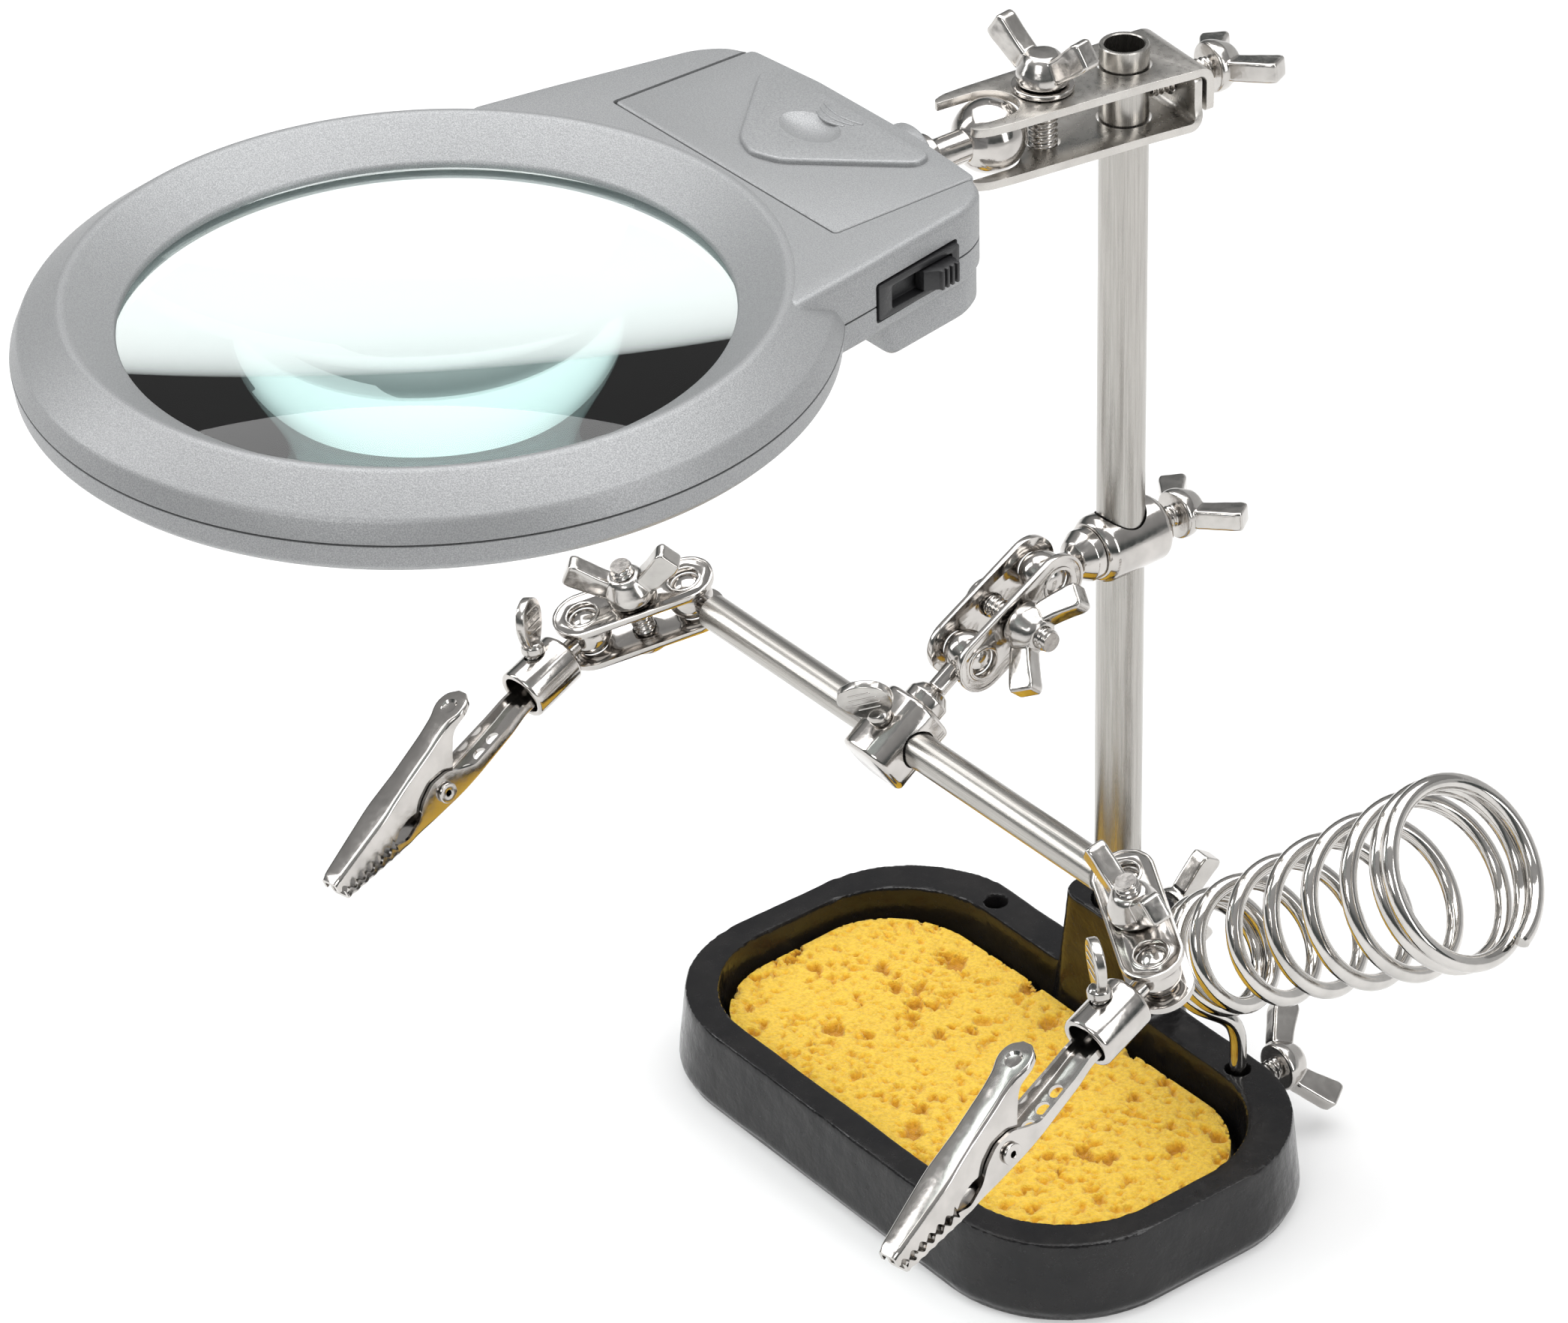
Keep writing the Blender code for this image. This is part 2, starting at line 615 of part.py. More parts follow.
def build_magnifier():
    holder = frame("magnifier_frame", BALL, (0, -1, 0), (0, 0, 1))
    slab_low = [(0, -80), (180, -80), (180, 80), (0, 80)]
    bay = prism(rounded_rectangle(10.0, BAY_FAR, -BAY_HALF, BAY_HALF, 0.6, 1),
                NECK_TOP_Z - COVER_SHEET - 0.3, 20.0)
    below = prism(slab_low, -30, SEAM_Z + 0.1)
    upper = cut(magnifier_solid(), *magnifier_cavity(), below, bay, switch_window())
    finish("upper_housing", upper, SILVER_PLASTIC, holder)
    above = prism(slab_low, SEAM_Z - 0.1, 40)
    lower = cut(magnifier_solid(), *magnifier_cavity(), above, switch_window(), led_bores())
    finish("lower_housing", lower, SILVER_PLASTIC, holder)
    lens = lathe([(0, -1.2), (16, -0.6), (30, 0.7), (41, 2.1), (47.4, 3.0), (47.4, 5.4), (41, 6.3),
                  (30, 7.7), (16, 9.0), (0, 9.6)], 36)
    finish("magnifying_lens", lens, CLEAR_GLASS, holder, (LENS_X, 0, 0.6))
    build_cover(holder)
    for index, x in enumerate(CELL_SPOTS):
        cell = lathe([(0, -CELL_LENGTH / 2), (CELL_RADIUS, -CELL_LENGTH / 2), (CELL_RADIUS, 21.4),
                      (1.9, 21.4), (1.9, CELL_LENGTH / 2), (0, CELL_LENGTH / 2)], 14, "Y")
        finish("battery_cell_%d" % (index + 1), cell, CELL_JACKET, holder, (x, 0, CELL_Z))
    build_switch(holder)
    build_ball_stud(holder)
    build_leds(holder)


def build_cover(holder):
    """The battery cover follows the neck's rear edge and carries a raised finger pad."""
    half = BAY_HALF - 0.3
    side = [(23.6, 12.0), (24.8, 26.2), (25.3, half), (BAY_FAR - 0.3, half)]
    sheet = prism(mirrored(side), NECK_TOP_Z - COVER_SHEET, NECK_TOP_Z)
    pad = [(26.4, 18.4), (29.6, 19.4), (44.8, 5.0), (46.6, 0.0)]
    pad = [(x, -y) for x, y in pad[:-1]] + pad[::-1]
    raised = prism(pad, NECK_TOP_Z - 0.6, NECK_TOP_Z + 0.9)
    dimple = lathe([(0, -0.9), (4.4, -0.5), (6.4, 0.9), (6.4, 3.0), (0, 3.0)], 16)
    dimple.transform(Matrix.Diagonal((0.8, 1.25, 1.0, 1.0)))
    moved(dimple, (35.0, 0.0, NECK_TOP_Z + 0.4))
    finish("battery_cover", cut(join(sheet, raised), dimple), SILVER_PLASTIC, holder)


def build_switch(holder):
    panel = cut(prism(rounded_rectangle(-8.8, 8.8, -2.9, 2.9, 0.4, 1), -2.2, 0.5),
                prism(rounded_rectangle(-6.0, 7.2, -1.9, 1.9, 0.3, 1), -1.2, 3.0))
    turn = (math.pi / 2, 0.0, math.pi + SWITCH_TAPER)
    finish("switch_panel", panel, BLACK_PLASTIC, holder, SWITCH_AT, turn)
    ridges = [(0.5, -0.9), (6.8, -0.9), (6.8, 1.4)]
    for i in range(4):
        x = 6.2 - 1.1 * i
        ridges += [(x, 2.9), (x - 0.5, 2.9), (x - 0.6, 2.3)]
    ridges += [(0.5, 0.9)]
    slider = side_prism(ridges, 1.6)
    finish("switch_slider", slider, BLACK_PLASTIC, holder, SWITCH_AT, turn)


def build_ball_stud(holder):
    profile = [(0, -22.0), (2.0, -22.0), (2.0, -14.6), (3.6, -14.4), (3.6, -12.4), (2.7, -12.2), (2.7, -5.35)]
    for i in range(1, 7):
        angle = math.radians(-63.3 + (90 + 63.3) * i / 7)
        profile.append((BALL_RADIUS * math.cos(angle), BALL_RADIUS * math.sin(angle)))
    profile.append((0, BALL_RADIUS))
    stud = lathe(profile, 18, "X")
    stud.transform(Matrix.Rotation(math.pi, 4, "Z"))
    finish("magnifier_ball_stud", stud, BRIGHT_STEEL, holder)


LED_SPOTS = ((57.2, 14.0), (57.2, -14.0))


def led_bores():
    bores = [moved(rod(2.9, -20, 4, 10), (x, y, 0)) for x, y in LED_SPOTS]
    first = bores[0]
    bm = bmesh.new()
    bm.from_mesh(first)
    bm.from_mesh(bores[1])
    bpy.data.meshes.remove(bores[1])
    bm.to_mesh(first)
    bm.free()
    return first


def build_leds(holder):
    for index, (x, y) in enumerate(LED_SPOTS):
        lamp = lathe([(0, -1.6), (1.6, -1.1), (2.5, 0.4), (2.5, 3.6), (0, 3.6)], 10)
        finish("led_%d" % (index + 1), lamp, LED_CLEAR, holder, (x, y, 0))


# ---------------------------------------------------------------- links and arms

def ball_profile(neck, neck_end):
    """Half profile of a ball at the origin with a neck that runs toward -Z."""
    start = math.asin(neck / LINK_BALL)
    profile = [(0, -neck_end), (neck, -neck_end), (neck, -LINK_BALL * math.cos(start))]
    for i in range(1, 6):
        angle = start + (math.pi - start) * i / 6
        profile.append((LINK_BALL * math.sin(angle), -LINK_BALL * math.cos(angle)))
    profile.append((0, LINK_BALL))
    return profile


def build_link(prefix, holder, nut_turn):
    """Two drilled plates on a bolt, with a wing nut; the near ball is the origin."""
    half = LINK_WIDTH / 2
    outline = arc_points(0, 0, half, 90, 270, 6) + arc_points(LINK_LENGTH, 0, half, -90, 90, 6)
    middle = LINK_LENGTH / 2
    outside = LINK_INSIDE + LINK_PLATE
    for name, low in (("front_plate", LINK_INSIDE), ("rear_plate", -outside)):
        high = low + LINK_PLATE
        holes = [moved(rod(r, low - 1, high + 1, 10), (x, 0, 0))
                 for x, r in ((0, LINK_HOLE), (middle, 2.2), (LINK_LENGTH, LINK_HOLE))]
        finish(prefix + name, cut(prism(outline, low, high), *holes), BRIGHT_STEEL, holder)
    head = -outside - 0.15
    bolt = lathe([(0, head - 2.4), (3.4, head - 2.4), (4.1, head - 1.6), (4.1, head), (1.9, head),
                  (1.9, 11.3), (1.5, 11.7), (0, 11.7)], 10)
    finish(prefix + "bolt", bolt, BRIGHT_STEEL, holder, (middle, 0, 0))
    finish(prefix + "wing_nut", wing_head(2.15), BRIGHT_STEEL, holder, (middle, 0, outside + 0.2),
           (0, 0, nut_turn))


def leaf_screw(name, holder, at, turn, shaft_length, widen=1.0):
    leaf = [(-1.5, 0.4), (1.5, 0.4), (3.4, 3.4), (3.8, 6.0), (2.7, 8.6), (0.0, 9.8), (-2.7, 8.6),
            (-3.8, 6.0), (-3.4, 3.4)]
    shaft = rod(1.35, -shaft_length, 1.4, 10)
    blade = join(side_prism([(x * widen, z) for x, z in leaf], 0.9), shaft)
    blade.transform(Matrix.Rotation(turn[2], 4, "Z"))
    finish(name, blade, BRIGHT_STEEL, holder, at, (turn[0], turn[1], 0.0))


def build_post_collar():
    holder = frame("collar_frame", (0, POST_Y, COLLAR_Z), (0, -1, 0), (0, 0, 1))
    body = lathe([(0, -7.6), (4.6, -7.6), (5.8, -6.2), (5.8, 5.6), (4.9, 6.4), (0, 6.4)], 18, "X")
    body = cut(body, rod(POST_RADIUS + FIT_GAP, -9, 9, 20), rod(2.3, -12, 0, 10, "X"),
               rod(2.1, 0, 12, 10, "X"))
    finish("post_collar", body, BRIGHT_STEEL, holder)
    build_screw("collar_wing_screw", (0, POST_Y + 11.4, COLLAR_Z), (0, 1, 0), (1, 0, 0.1), 1.95, 6.6)
    stud_end = POST_Y - LINK_A.y
    profile = [(0, -11.9), (1.8, -11.9), (1.8, -10.1), (4.4, -10.1), (4.4, -8.4), (3.4, -6.6), (1.8, -5.6)]
    profile += ball_profile(1.8, 5.0)[2:]
    stud = lathe(profile, 14, "X")
    finish("collar_ball_stud", stud, BRIGHT_STEEL, holder, (stud_end, 0, 0))


def centre_direction():
    return Vector((0, -math.cos(CENTRE_DROP), -math.sin(CENTRE_DROP)))


def build_centre_arm():
    holder = frame("centre_link_frame", LINK_A, centre_direction(), (1, 0, 0))
    build_link("centre_link_", holder, math.radians(20))
    far_ball = LINK_A + centre_direction() * LINK_LENGTH
    down = (BAR_CENTRE - far_ball)
    reach = down.length
    across = Vector((1, 0, 0))
    holder = frame("bar_collar_frame", BAR_CENTRE, across, across.cross(-down))
    body = lathe([(0, -6.6), (4.4, -6.6), (5.6, -5.4), (5.6, 5.2), (5.0, 5.9), (0, 5.9)], 16, "Y")
    body = cut(body, rod(BAR_RADIUS + FIT_GAP, -9, 9, 16, "X"), rod(1.7, 0, 12, 10),
               rod(2.0, 0, 12, 10, "Y"))
    finish("bar_collar", body, BRIGHT_STEEL, holder)
    profile = [(0, 4.4 - reach), (1.7, 4.4 - reach), (1.7, 6.2 - reach), (3.6, 6.2 - reach),
               (3.6, 8.0 - reach), (2.6, 9.2 - reach), (1.7, 9.8 - reach)]
    profile += ball_profile(1.7, 5.0)[2:]
    finish("bar_collar_ball_stud", lathe(profile, 14, "Y"), BRIGHT_STEEL, holder, (0, reach, 0))
    leaf_screw("bar_thumb_screw", holder, (0, 0, 6.4), (0, 0, math.radians(42)), 2.9, 1.24)


def build_crossbar():
    holder = frame("crossbar_frame", BAR_CENTRE, (1, 0, 0), (0, 0, 1))
    low = BAR_LEFT + BAR_END_GAP
    high = BAR_RIGHT - BAR_END_GAP
    finish("crossbar_tube", pipe(BAR_RADIUS, 2.3, low, high, 18, "X"), SATIN_STEEL, holder)
    for name, at, turn in (("left_bar_ball_stud", BAR_LEFT, math.pi), ("right_bar_ball_stud", BAR_RIGHT, 0.0)):
        profile = ball_profile(1.7, 12.0)
        profile[:2] = [(0, -11.0), (1.9, -11.0), (1.9, -5.4), (1.7, -5.2)]
        finish(name, lathe(profile, 14, "X"), BRIGHT_STEEL, holder, (at, 0, 0), (0, 0, turn))


def arm_normal():
    return Vector((0, -math.sin(ARM_TILT), math.cos(ARM_TILT)))


def arm_direction(angle):
    across = Vector((0, math.cos(ARM_TILT), math.sin(ARM_TILT)))
    return Vector((1, 0, 0)) * math.cos(angle) + across * math.sin(angle)


def build_side(prefix, bar_x, link_angle, nut_turn, leaf_turn):
    normal = arm_normal()
    near = BAR_CENTRE + Vector((bar_x, 0, 0))
    build_link(prefix + "link_", frame(prefix + "link_frame", near, arm_direction(link_angle), normal),
               nut_turn)
    far = near + arm_direction(link_angle) * LINK_LENGTH
    out = arm_direction(CLIP_ANGLE)
    holder = frame(prefix + "socket_frame", far, out, Matrix.Rotation(SOCKET_ROLL, 3, out) @ normal)
    cup = lathe([(1.9, SOCKET_START), (SOCKET_RADIUS - 0.7, SOCKET_START), (SOCKET_RADIUS, SOCKET_START + 0.7),
                 (SOCKET_RADIUS, SOCKET_END - 0.3), (SOCKET_RADIUS - 0.4, SOCKET_END), (SOCKET_BORE, SOCKET_END),
                 (SOCKET_BORE, SOCKET_START + 1.8), (1.9, SOCKET_START + 1.8)], 16, "X")
    screw_x = SOCKET_START + 6.6
    hole = rod(1.75, 0, 9, 10)
    hole.transform(Matrix.Rotation(-THUMB_LEAN, 4, "Y"))
    finish(prefix + "socket", cut(cup, moved(hole, (screw_x, 0, 0))), BRIGHT_STEEL, holder)
    stud = lathe(ball_profile(1.6, 8.6), 14, "X")
    finish(prefix + "socket_ball_stud", stud, BRIGHT_STEEL, holder, (0, 0, 0), (0, 0, math.pi))
    lean = Matrix.Rotation(-THUMB_LEAN, 3, "Y") @ Vector((0, 0, 1))
    seat = Vector((screw_x, 0, 0)) + lean * (SOCKET_RADIUS + 0.9)
    leaf_screw(prefix + "thumb_screw", holder, seat, (0, -THUMB_LEAN, leaf_turn), 2.1)
    build_clip(prefix, far, out, Matrix.Rotation(CLIP_ROLL, 3, out) @ normal)


def build_clip(prefix, far, out, thumb_side):
    rivet_at = far + out * RIVET_X - thumb_side * RIVET_DROP
    holder = frame(prefix + "clip_frame", rivet_at, out, thumb_side)
    lower = [(-28.6, 0.1, 2.2, 2.1), (-19.2, 0.1, 2.2, 2.1), (-16.0, -1.4, 0.6, 2.9),
             (-7.0, -2.6, 0.0, 3.2), (-4.0, -2.9, 1.6, 3.2), (-2.0, -3.0, 3.0, 3.2), (1.6, -3.0, 3.2, 3.2),
             (4.6, -3.0, 1.6, 3.2), (6.6, -3.0, -0.6, 3.1), (10.0, -3.1, -2.0, 3.0),
             (12.4, -3.2, -1.1, 2.9), (24.0, -3.2, -1.4, 2.1)]
    upper = [(-12.6, 9.9, 10.6, 1.2), (-11.6, 9.7, 10.6, 2.6), (-9.2, 9.2, 10.4, 3.3),
             (-7.0, 8.4, 10.0, 2.8), (-5.6, 6.6, 9.6, 2.4), (-3.8, 2.8, 9.0, 2.4), (-2.0, -1.2, 8.4, 2.4),
             (1.8, -1.2, 7.4, 2.4), (4.4, 0.4, 6.7, 2.4), (8.0, 1.0, 5.8, 2.6), (10.6, 0.6, 5.1, 2.8),
             (12.4, -0.75, 4.6, 2.8), (24.0, -1.05, 1.4, 2.1), (25.0, -0.8, 0.8, 1.8)]
    hole = rod(1.15, -6, 6, 10, "Y")
    finish(prefix + "clip_fixed_jaw", cut(channel(lower, 1), hole), BRIGHT_STEEL, holder)
    hole = rod(1.15, -6, 6, 10, "Y")
    finish(prefix + "clip_moving_jaw", cut(channel(upper, -1), hole), BRIGHT_STEEL, holder)
    pin = lathe([(0, -3.9), (1.7, -3.9), (1.7, -3.35), (0.9, -3.35), (0.9, 3.35), (1.7, 3.35), (1.7, 3.9),
                 (0, 3.9)], 10, "Y")
    finish(prefix + "clip_rivet", pin, BRIGHT_STEEL, holder)
    finish(prefix + "clip_spring", pipe(1.75, 1.15, -1.6, 1.6, 10, "Y"), SATIN_STEEL, holder)


def main():
    clear_scene()
    build_base()
    build_sponge()
    build_base_screws()
    build_post()
    build_coil()
    build_clamp()
    build_magnifier()
    build_post_collar()
    build_centre_arm()
    build_crossbar()
    build_side("left_", BAR_LEFT, LEFT_LINK_ANGLE, math.radians(-17.5), LEFT_LEAF_TURN)
    build_side("right_", BAR_RIGHT, RIGHT_LINK_ANGLE, math.radians(-160), RIGHT_LEAF_TURN)
    bpy.context.view_layer.update()


main()
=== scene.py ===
"""Soldering iron station: the detailed visual model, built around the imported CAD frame.

Shapes are drawn in millimetres in a local frame, then placed in the row frame in metres.
"""
import json
from math import asin, cos, pi, radians, sin, sqrt

import bmesh
import bpy
import numpy as np
from mathutils import Matrix, Vector, noise


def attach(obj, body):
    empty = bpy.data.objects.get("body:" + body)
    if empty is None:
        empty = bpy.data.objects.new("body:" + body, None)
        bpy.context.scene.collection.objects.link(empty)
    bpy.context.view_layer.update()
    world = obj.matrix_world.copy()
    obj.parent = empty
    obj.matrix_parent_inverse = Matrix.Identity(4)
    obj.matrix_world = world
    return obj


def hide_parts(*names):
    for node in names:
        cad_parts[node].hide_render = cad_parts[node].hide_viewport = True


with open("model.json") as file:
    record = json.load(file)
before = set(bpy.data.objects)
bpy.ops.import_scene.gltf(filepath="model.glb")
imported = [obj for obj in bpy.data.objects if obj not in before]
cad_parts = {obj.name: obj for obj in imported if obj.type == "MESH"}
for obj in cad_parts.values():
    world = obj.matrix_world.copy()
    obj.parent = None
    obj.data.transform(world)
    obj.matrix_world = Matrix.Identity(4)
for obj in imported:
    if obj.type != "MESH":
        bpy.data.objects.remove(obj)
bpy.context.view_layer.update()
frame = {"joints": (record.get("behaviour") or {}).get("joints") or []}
noise.seed_set(7)  # noise_vector's offsets come from the clock unless this is set

MM = 0.001
JOINTS = {joint["name"]: joint for joint in frame["joints"]}
SHARP = radians(34)
HOUSING_SHARP = radians(26)
SPONGE_SHARP = radians(80)

# base, post and iron holder
POST_RADIUS, POST_BORE = 4.0, 3.2
POST_BOTTOM, POST_TOP = 5.0, 195.5
POST_HOLE = 4.35
HOLE_X, HOLE_Y, HOLE_RADIUS = 31.8, 29.0, 2.0
WIRE_RADIUS = 1.45
COIL_START = Vector((23.5, 28.9, 33.7))
COIL_AZIMUTH, COIL_ELEVATION = radians(11.3), radians(37.9)
COIL_LENGTH, COIL_TURNS, COIL_TIGHT_PITCH = 65.6, 9, 3.1
COIL_SMALL_RADIUS, COIL_WIDENING = 9.2, 5.6

# wing screws, and the clamp plates' heights from the ball's centre
SCREW_RADIUS, SCREW_PITCH = 1.95, 1.0
PLATE_LOW, PLATE_HIGH = 3.95, 5.35
BOLT_SETBACK = 10.0

# magnifier, in its own frame: X away from the ball, Z up
LENS_X = 106.2
RIDGE = 52.6
SEAM_Z = 5.0
NECK_TOP = 12.6
BAY_FAR, BAY_HALF = 52.0, 27.5
APERTURE = 45.3
CELL_X, CELL_Z, CELL_RADIUS = (36.3, 46.9), 5.8, 5.1
LAMP_X, LAMP_Y = 57.2, 14.0
SWITCH_AT = Vector((43.5, 36.1, 5.4))
SWITCH_TAPER = radians(8.8)

# links, sockets and clips
LINK_LENGTH = 18.0
LINK_HALF = 5.15
LINK_INSIDE = 3.1
LINK_PLATE = 1.2
LINK_BALL = 3.9
CLIP_ROLL = radians(6.0)
SOCKET_ROLL = radians(8.0)
THUMB_LEAN = radians(20.0)
SHEET = 0.6


# ---- frames

def pivot(name):
    """A joint's position in millimetres."""
    return Vector(JOINTS[name]["pos_m"]) / MM


def direction(name):
    return Vector(JOINTS[name]["axis"]).normalized()


def basis(origin, x_axis, z_axis):
    """Local millimetres to the row frame in metres."""
    x_dir = Vector(x_axis).normalized()
    y_dir = Vector(z_axis).cross(x_dir).normalized()
    z_dir = x_dir.cross(y_dir)
    turn = Matrix((x_dir, y_dir, z_dir)).transposed().to_4x4()
    return Matrix.Translation(Vector(origin) * MM) @ turn @ Matrix.Scale(MM, 4)


# ---- materials

def set_inputs(node, **values):
    """Set sockets by name, with _ for each space."""
    for name, value in values.items():
        node.inputs[name.replace("_", " ")].default_value = value


def new_material(name, colour, roughness, metallic):
    material = bpy.data.materials.new(name)
    material.use_nodes = True
    tree = material.node_tree
    shader = tree.nodes["Principled BSDF"]
    set_inputs(shader, Base_Color=(*colour, 1.0), Roughness=roughness, Metallic=metallic)
    return material, tree, shader


def add_noise(tree, scale, detail=4.0, stretch=(1, 1, 1), rough=0.55):
    coords = tree.nodes.new("ShaderNodeTexCoord")
    mapping = tree.nodes.new("ShaderNodeMapping")
    set_inputs(mapping, Scale=stretch)
    texture = tree.nodes.new("ShaderNodeTexNoise")
    set_inputs(texture, Scale=scale, Detail=detail, Roughness=rough)
    tree.links.new(coords.outputs["Object"], mapping.inputs["Vector"])
    tree.links.new(mapping.outputs["Vector"], texture.inputs["Vector"])
    return texture.outputs["Fac"]


def add_ramp(tree, source, stops):
    ramp = tree.nodes.new("ShaderNodeValToRGB")
    while len(ramp.color_ramp.elements) < len(stops):
        ramp.color_ramp.elements.new(0.5)
    for element, (place, colour) in zip(ramp.color_ramp.elements, stops):
        element.position = place
        element.color = (*colour, 1.0) if len(colour) == 3 else colour
    tree.links.new(source, ramp.inputs["Fac"])
    return ramp.outputs["Color"]


def add_range(tree, source, low, high):
    ranger = tree.nodes.new("ShaderNodeMapRange")
    set_inputs(ranger, From_Min=0.3, From_Max=0.7, To_Min=low, To_Max=high)
    tree.links.new(source, ranger.inputs["Value"])
    return ranger.outputs["Result"]


def add_bump(tree, shader, source, strength, distance):
    bump = tree.nodes.new("ShaderNodeBump")
    set_inputs(bump, Strength=strength, Distance=distance)
    earlier = shader.inputs["Normal"].links
    if earlier:
        tree.links.new(earlier[0].from_socket, bump.inputs["Normal"])
    tree.links.new(source, bump.inputs["Height"])
    tree.links.new(bump.outputs["Normal"], shader.inputs["Normal"])


def plated_metal(name, dark, light, low, high, wave=0.03):
    """Bright nickel plate: clouded colour, uneven gloss, faint waves under the plating."""
    material, tree, shader = new_material(name, light, low, 1.0)
    cloud = add_noise(tree, 170.0, 3.0)
    tree.links.new(add_ramp(tree, cloud, [(0.25, dark), (0.6, light)]), shader.inputs["Base Color"])
    tree.links.new(add_range(tree, add_noise(tree, 900.0, 3.0), low, high), shader.inputs["Roughness"])
    add_bump(tree, shader, add_noise(tree, 420.0, 2.0), wave, 0.0006)
    add_bump(tree, shader, add_noise(tree, 5200.0, 2.0), 0.03, 0.0001)
    return material


def drawn_tube(name, along):
    """Drawn steel tube: long fine streaks along its axis."""
    material, tree, shader = new_material(name, (0.6, 0.58, 0.55), 0.3, 1.0)
    stretch = [1.0, 1.0, 1.0]
    stretch[along] = 0.02
    streak = add_noise(tree, 3400.0, 5.0, stretch, 0.6)
    colour = add_ramp(tree, streak, [(0.25, (0.36, 0.345, 0.325)), (0.5, (0.43, 0.415, 0.39)),
                                     (0.75, (0.50, 0.48, 0.455))])
    tree.links.new(colour, shader.inputs["Base Color"])
    tree.links.new(add_range(tree, streak, 0.30, 0.22), shader.inputs["Roughness"])
    add_bump(tree, shader, streak, 0.07, 0.0002)
    add_bump(tree, shader, add_noise(tree, 4200.0, 2.0), 0.04, 0.0001)
    return material


def grained_plastic(name, dark, light, roughness):
    """Silver-grey paint with fine metallic flake and a moulded grain."""
    material, tree, shader = new_material(name, light, roughness, 0.35)
    flake = add_noise(tree, 5200.0, 2.0)
    tree.links.new(add_ramp(tree, flake, [(0.38, dark), (0.64, light)]), shader.inputs["Base Color"])
    gloss = add_range(tree, flake, roughness + 0.08, roughness - 0.06)
    tree.links.new(gloss, shader.inputs["Roughness"])
    add_bump(tree, shader, add_noise(tree, 3600.0, 3.0), 0.22, 0.0002)
    return material


def cast_enamel():
    """Black stoving enamel over a sand casting: wet gloss over soft lumps."""
    material, tree, shader = new_material("black_enamel", (0.008, 0.008, 0.009), 0.3, 0.0)
    patch = add_noise(tree, 120.0, 5.0)
    colour = add_ramp(tree, patch, [(0.3, (0.005, 0.005, 0.006)), (0.7, (0.014, 0.013, 0.013))])
    tree.links.new(colour, shader.inputs["Base Color"])
    tree.links.new(add_range(tree, add_noise(tree, 700.0, 4.0), 0.14, 0.30), shader.inputs["Roughness"])
    add_bump(tree, shader, add_noise(tree, 300.0, 3.0), 0.3, 0.0007)
    add_bump(tree, shader, add_noise(tree, 1300.0, 2.0), 0.14, 0.0003)
    set_inputs(shader, Specular_IOR_Level=0.27, Coat_Weight=0.2, Coat_Roughness=0.1)
    return material


def sponge_foam():
    """Yellow cellulose: painted shade turns the pores darker amber, and the raised fibres stay yellow."""
    material, tree, shader = new_material("yellow_sponge", (0.9, 0.62, 0.08), 0.92, 0.0)
    depth = tree.nodes.new("ShaderNodeAttribute")
    depth.attribute_name = "depth"
    # Painted shade: the deeper a point lies in a pore, the darker amber its colour.
    pore_shade = add_ramp(tree, depth.outputs["Fac"], [(0.0, (0.96, 0.62, 0.05)), (0.3, (0.86, 0.46, 0.016)),
                                                 (1.0, (0.50, 0.21, 0.003))])
    speck = add_ramp(tree, add_noise(tree, 1500.0, 4.0), [(0.35, (0.84, 0.78, 0.62)),
                                                          (0.6, (1.0, 1.0, 1.0))])
    mix = tree.nodes.new("ShaderNodeMix")
    mix.data_type = "RGBA"
    mix.blend_type = "MULTIPLY"
    mix.inputs[0].default_value = 1.0
    tree.links.new(pore_shade, mix.inputs[6])
    tree.links.new(speck, mix.inputs[7])
    tree.links.new(mix.outputs[2], shader.inputs["Base Color"])
    add_bump(tree, shader, add_noise(tree, 2600.0, 5.0), 0.8, 0.0006)
    set_inputs(shader, Subsurface_Weight=0.12, Subsurface_Radius=(0.002, 0.001, 0.0004),
               Subsurface_Scale=0.6, Sheen_Weight=0.25)
    return material


def moulded_black():
    material, tree, shader = new_material("black_plastic", (0.012, 0.012, 0.013), 0.38, 0.0)
    grain = add_noise(tree, 2400.0, 3.0)
    tree.links.new(add_range(tree, grain, 0.3, 0.46), shader.inputs["Roughness"])
    add_bump(tree, shader, grain, 0.2, 0.0002)
    return material


def lens_glass():
    """Clear lens with a faint green cast; light passes it without casting a hard shadow."""
    material, tree, shader = new_material("lens_glass", (0.93, 0.985, 0.97), 0.0, 0.0)
    set_inputs(shader, Transmission_Weight=1.0, IOR=1.49)
    smear = add_noise(tree, 60.0, 4.0)
    tree.links.new(add_range(tree, smear, 0.0, 0.012), shader.inputs["Roughness"])
    clear = tree.nodes.new("ShaderNodeBsdfTransparent")
    set_inputs(clear, Color=(0.93, 0.97, 0.96, 1.0))
    path = tree.nodes.new("ShaderNodeLightPath")
    mix = tree.nodes.new("ShaderNodeMixShader")
    tree.links.new(path.outputs["Is Shadow Ray"], mix.inputs["Fac"])
    tree.links.new(shader.outputs["BSDF"], mix.inputs[1])
    tree.links.new(clear.outputs["BSDF"], mix.inputs[2])
    tree.links.new(mix.outputs["Shader"], tree.nodes["Material Output"].inputs["Surface"])
    body = tree.nodes.new("ShaderNodeVolumeAbsorption")
    set_inputs(body, Color=(0.15, 0.83, 0.78, 1.0), Density=5.0)
    tree.links.new(body.outputs["Volume"], tree.nodes["Material Output"].inputs["Volume"])
    return material


def simple_plastic(name, dark, light, roughness):
    material, tree, shader = new_material(name, light, roughness, 0.0)
    grain = add_noise(tree, 900.0, 3.0)
    tree.links.new(add_ramp(tree, grain, [(0.35, dark), (0.65, light)]), shader.inputs["Base Color"])
    add_bump(tree, shader, grain, 0.15, 0.0002)
    return material


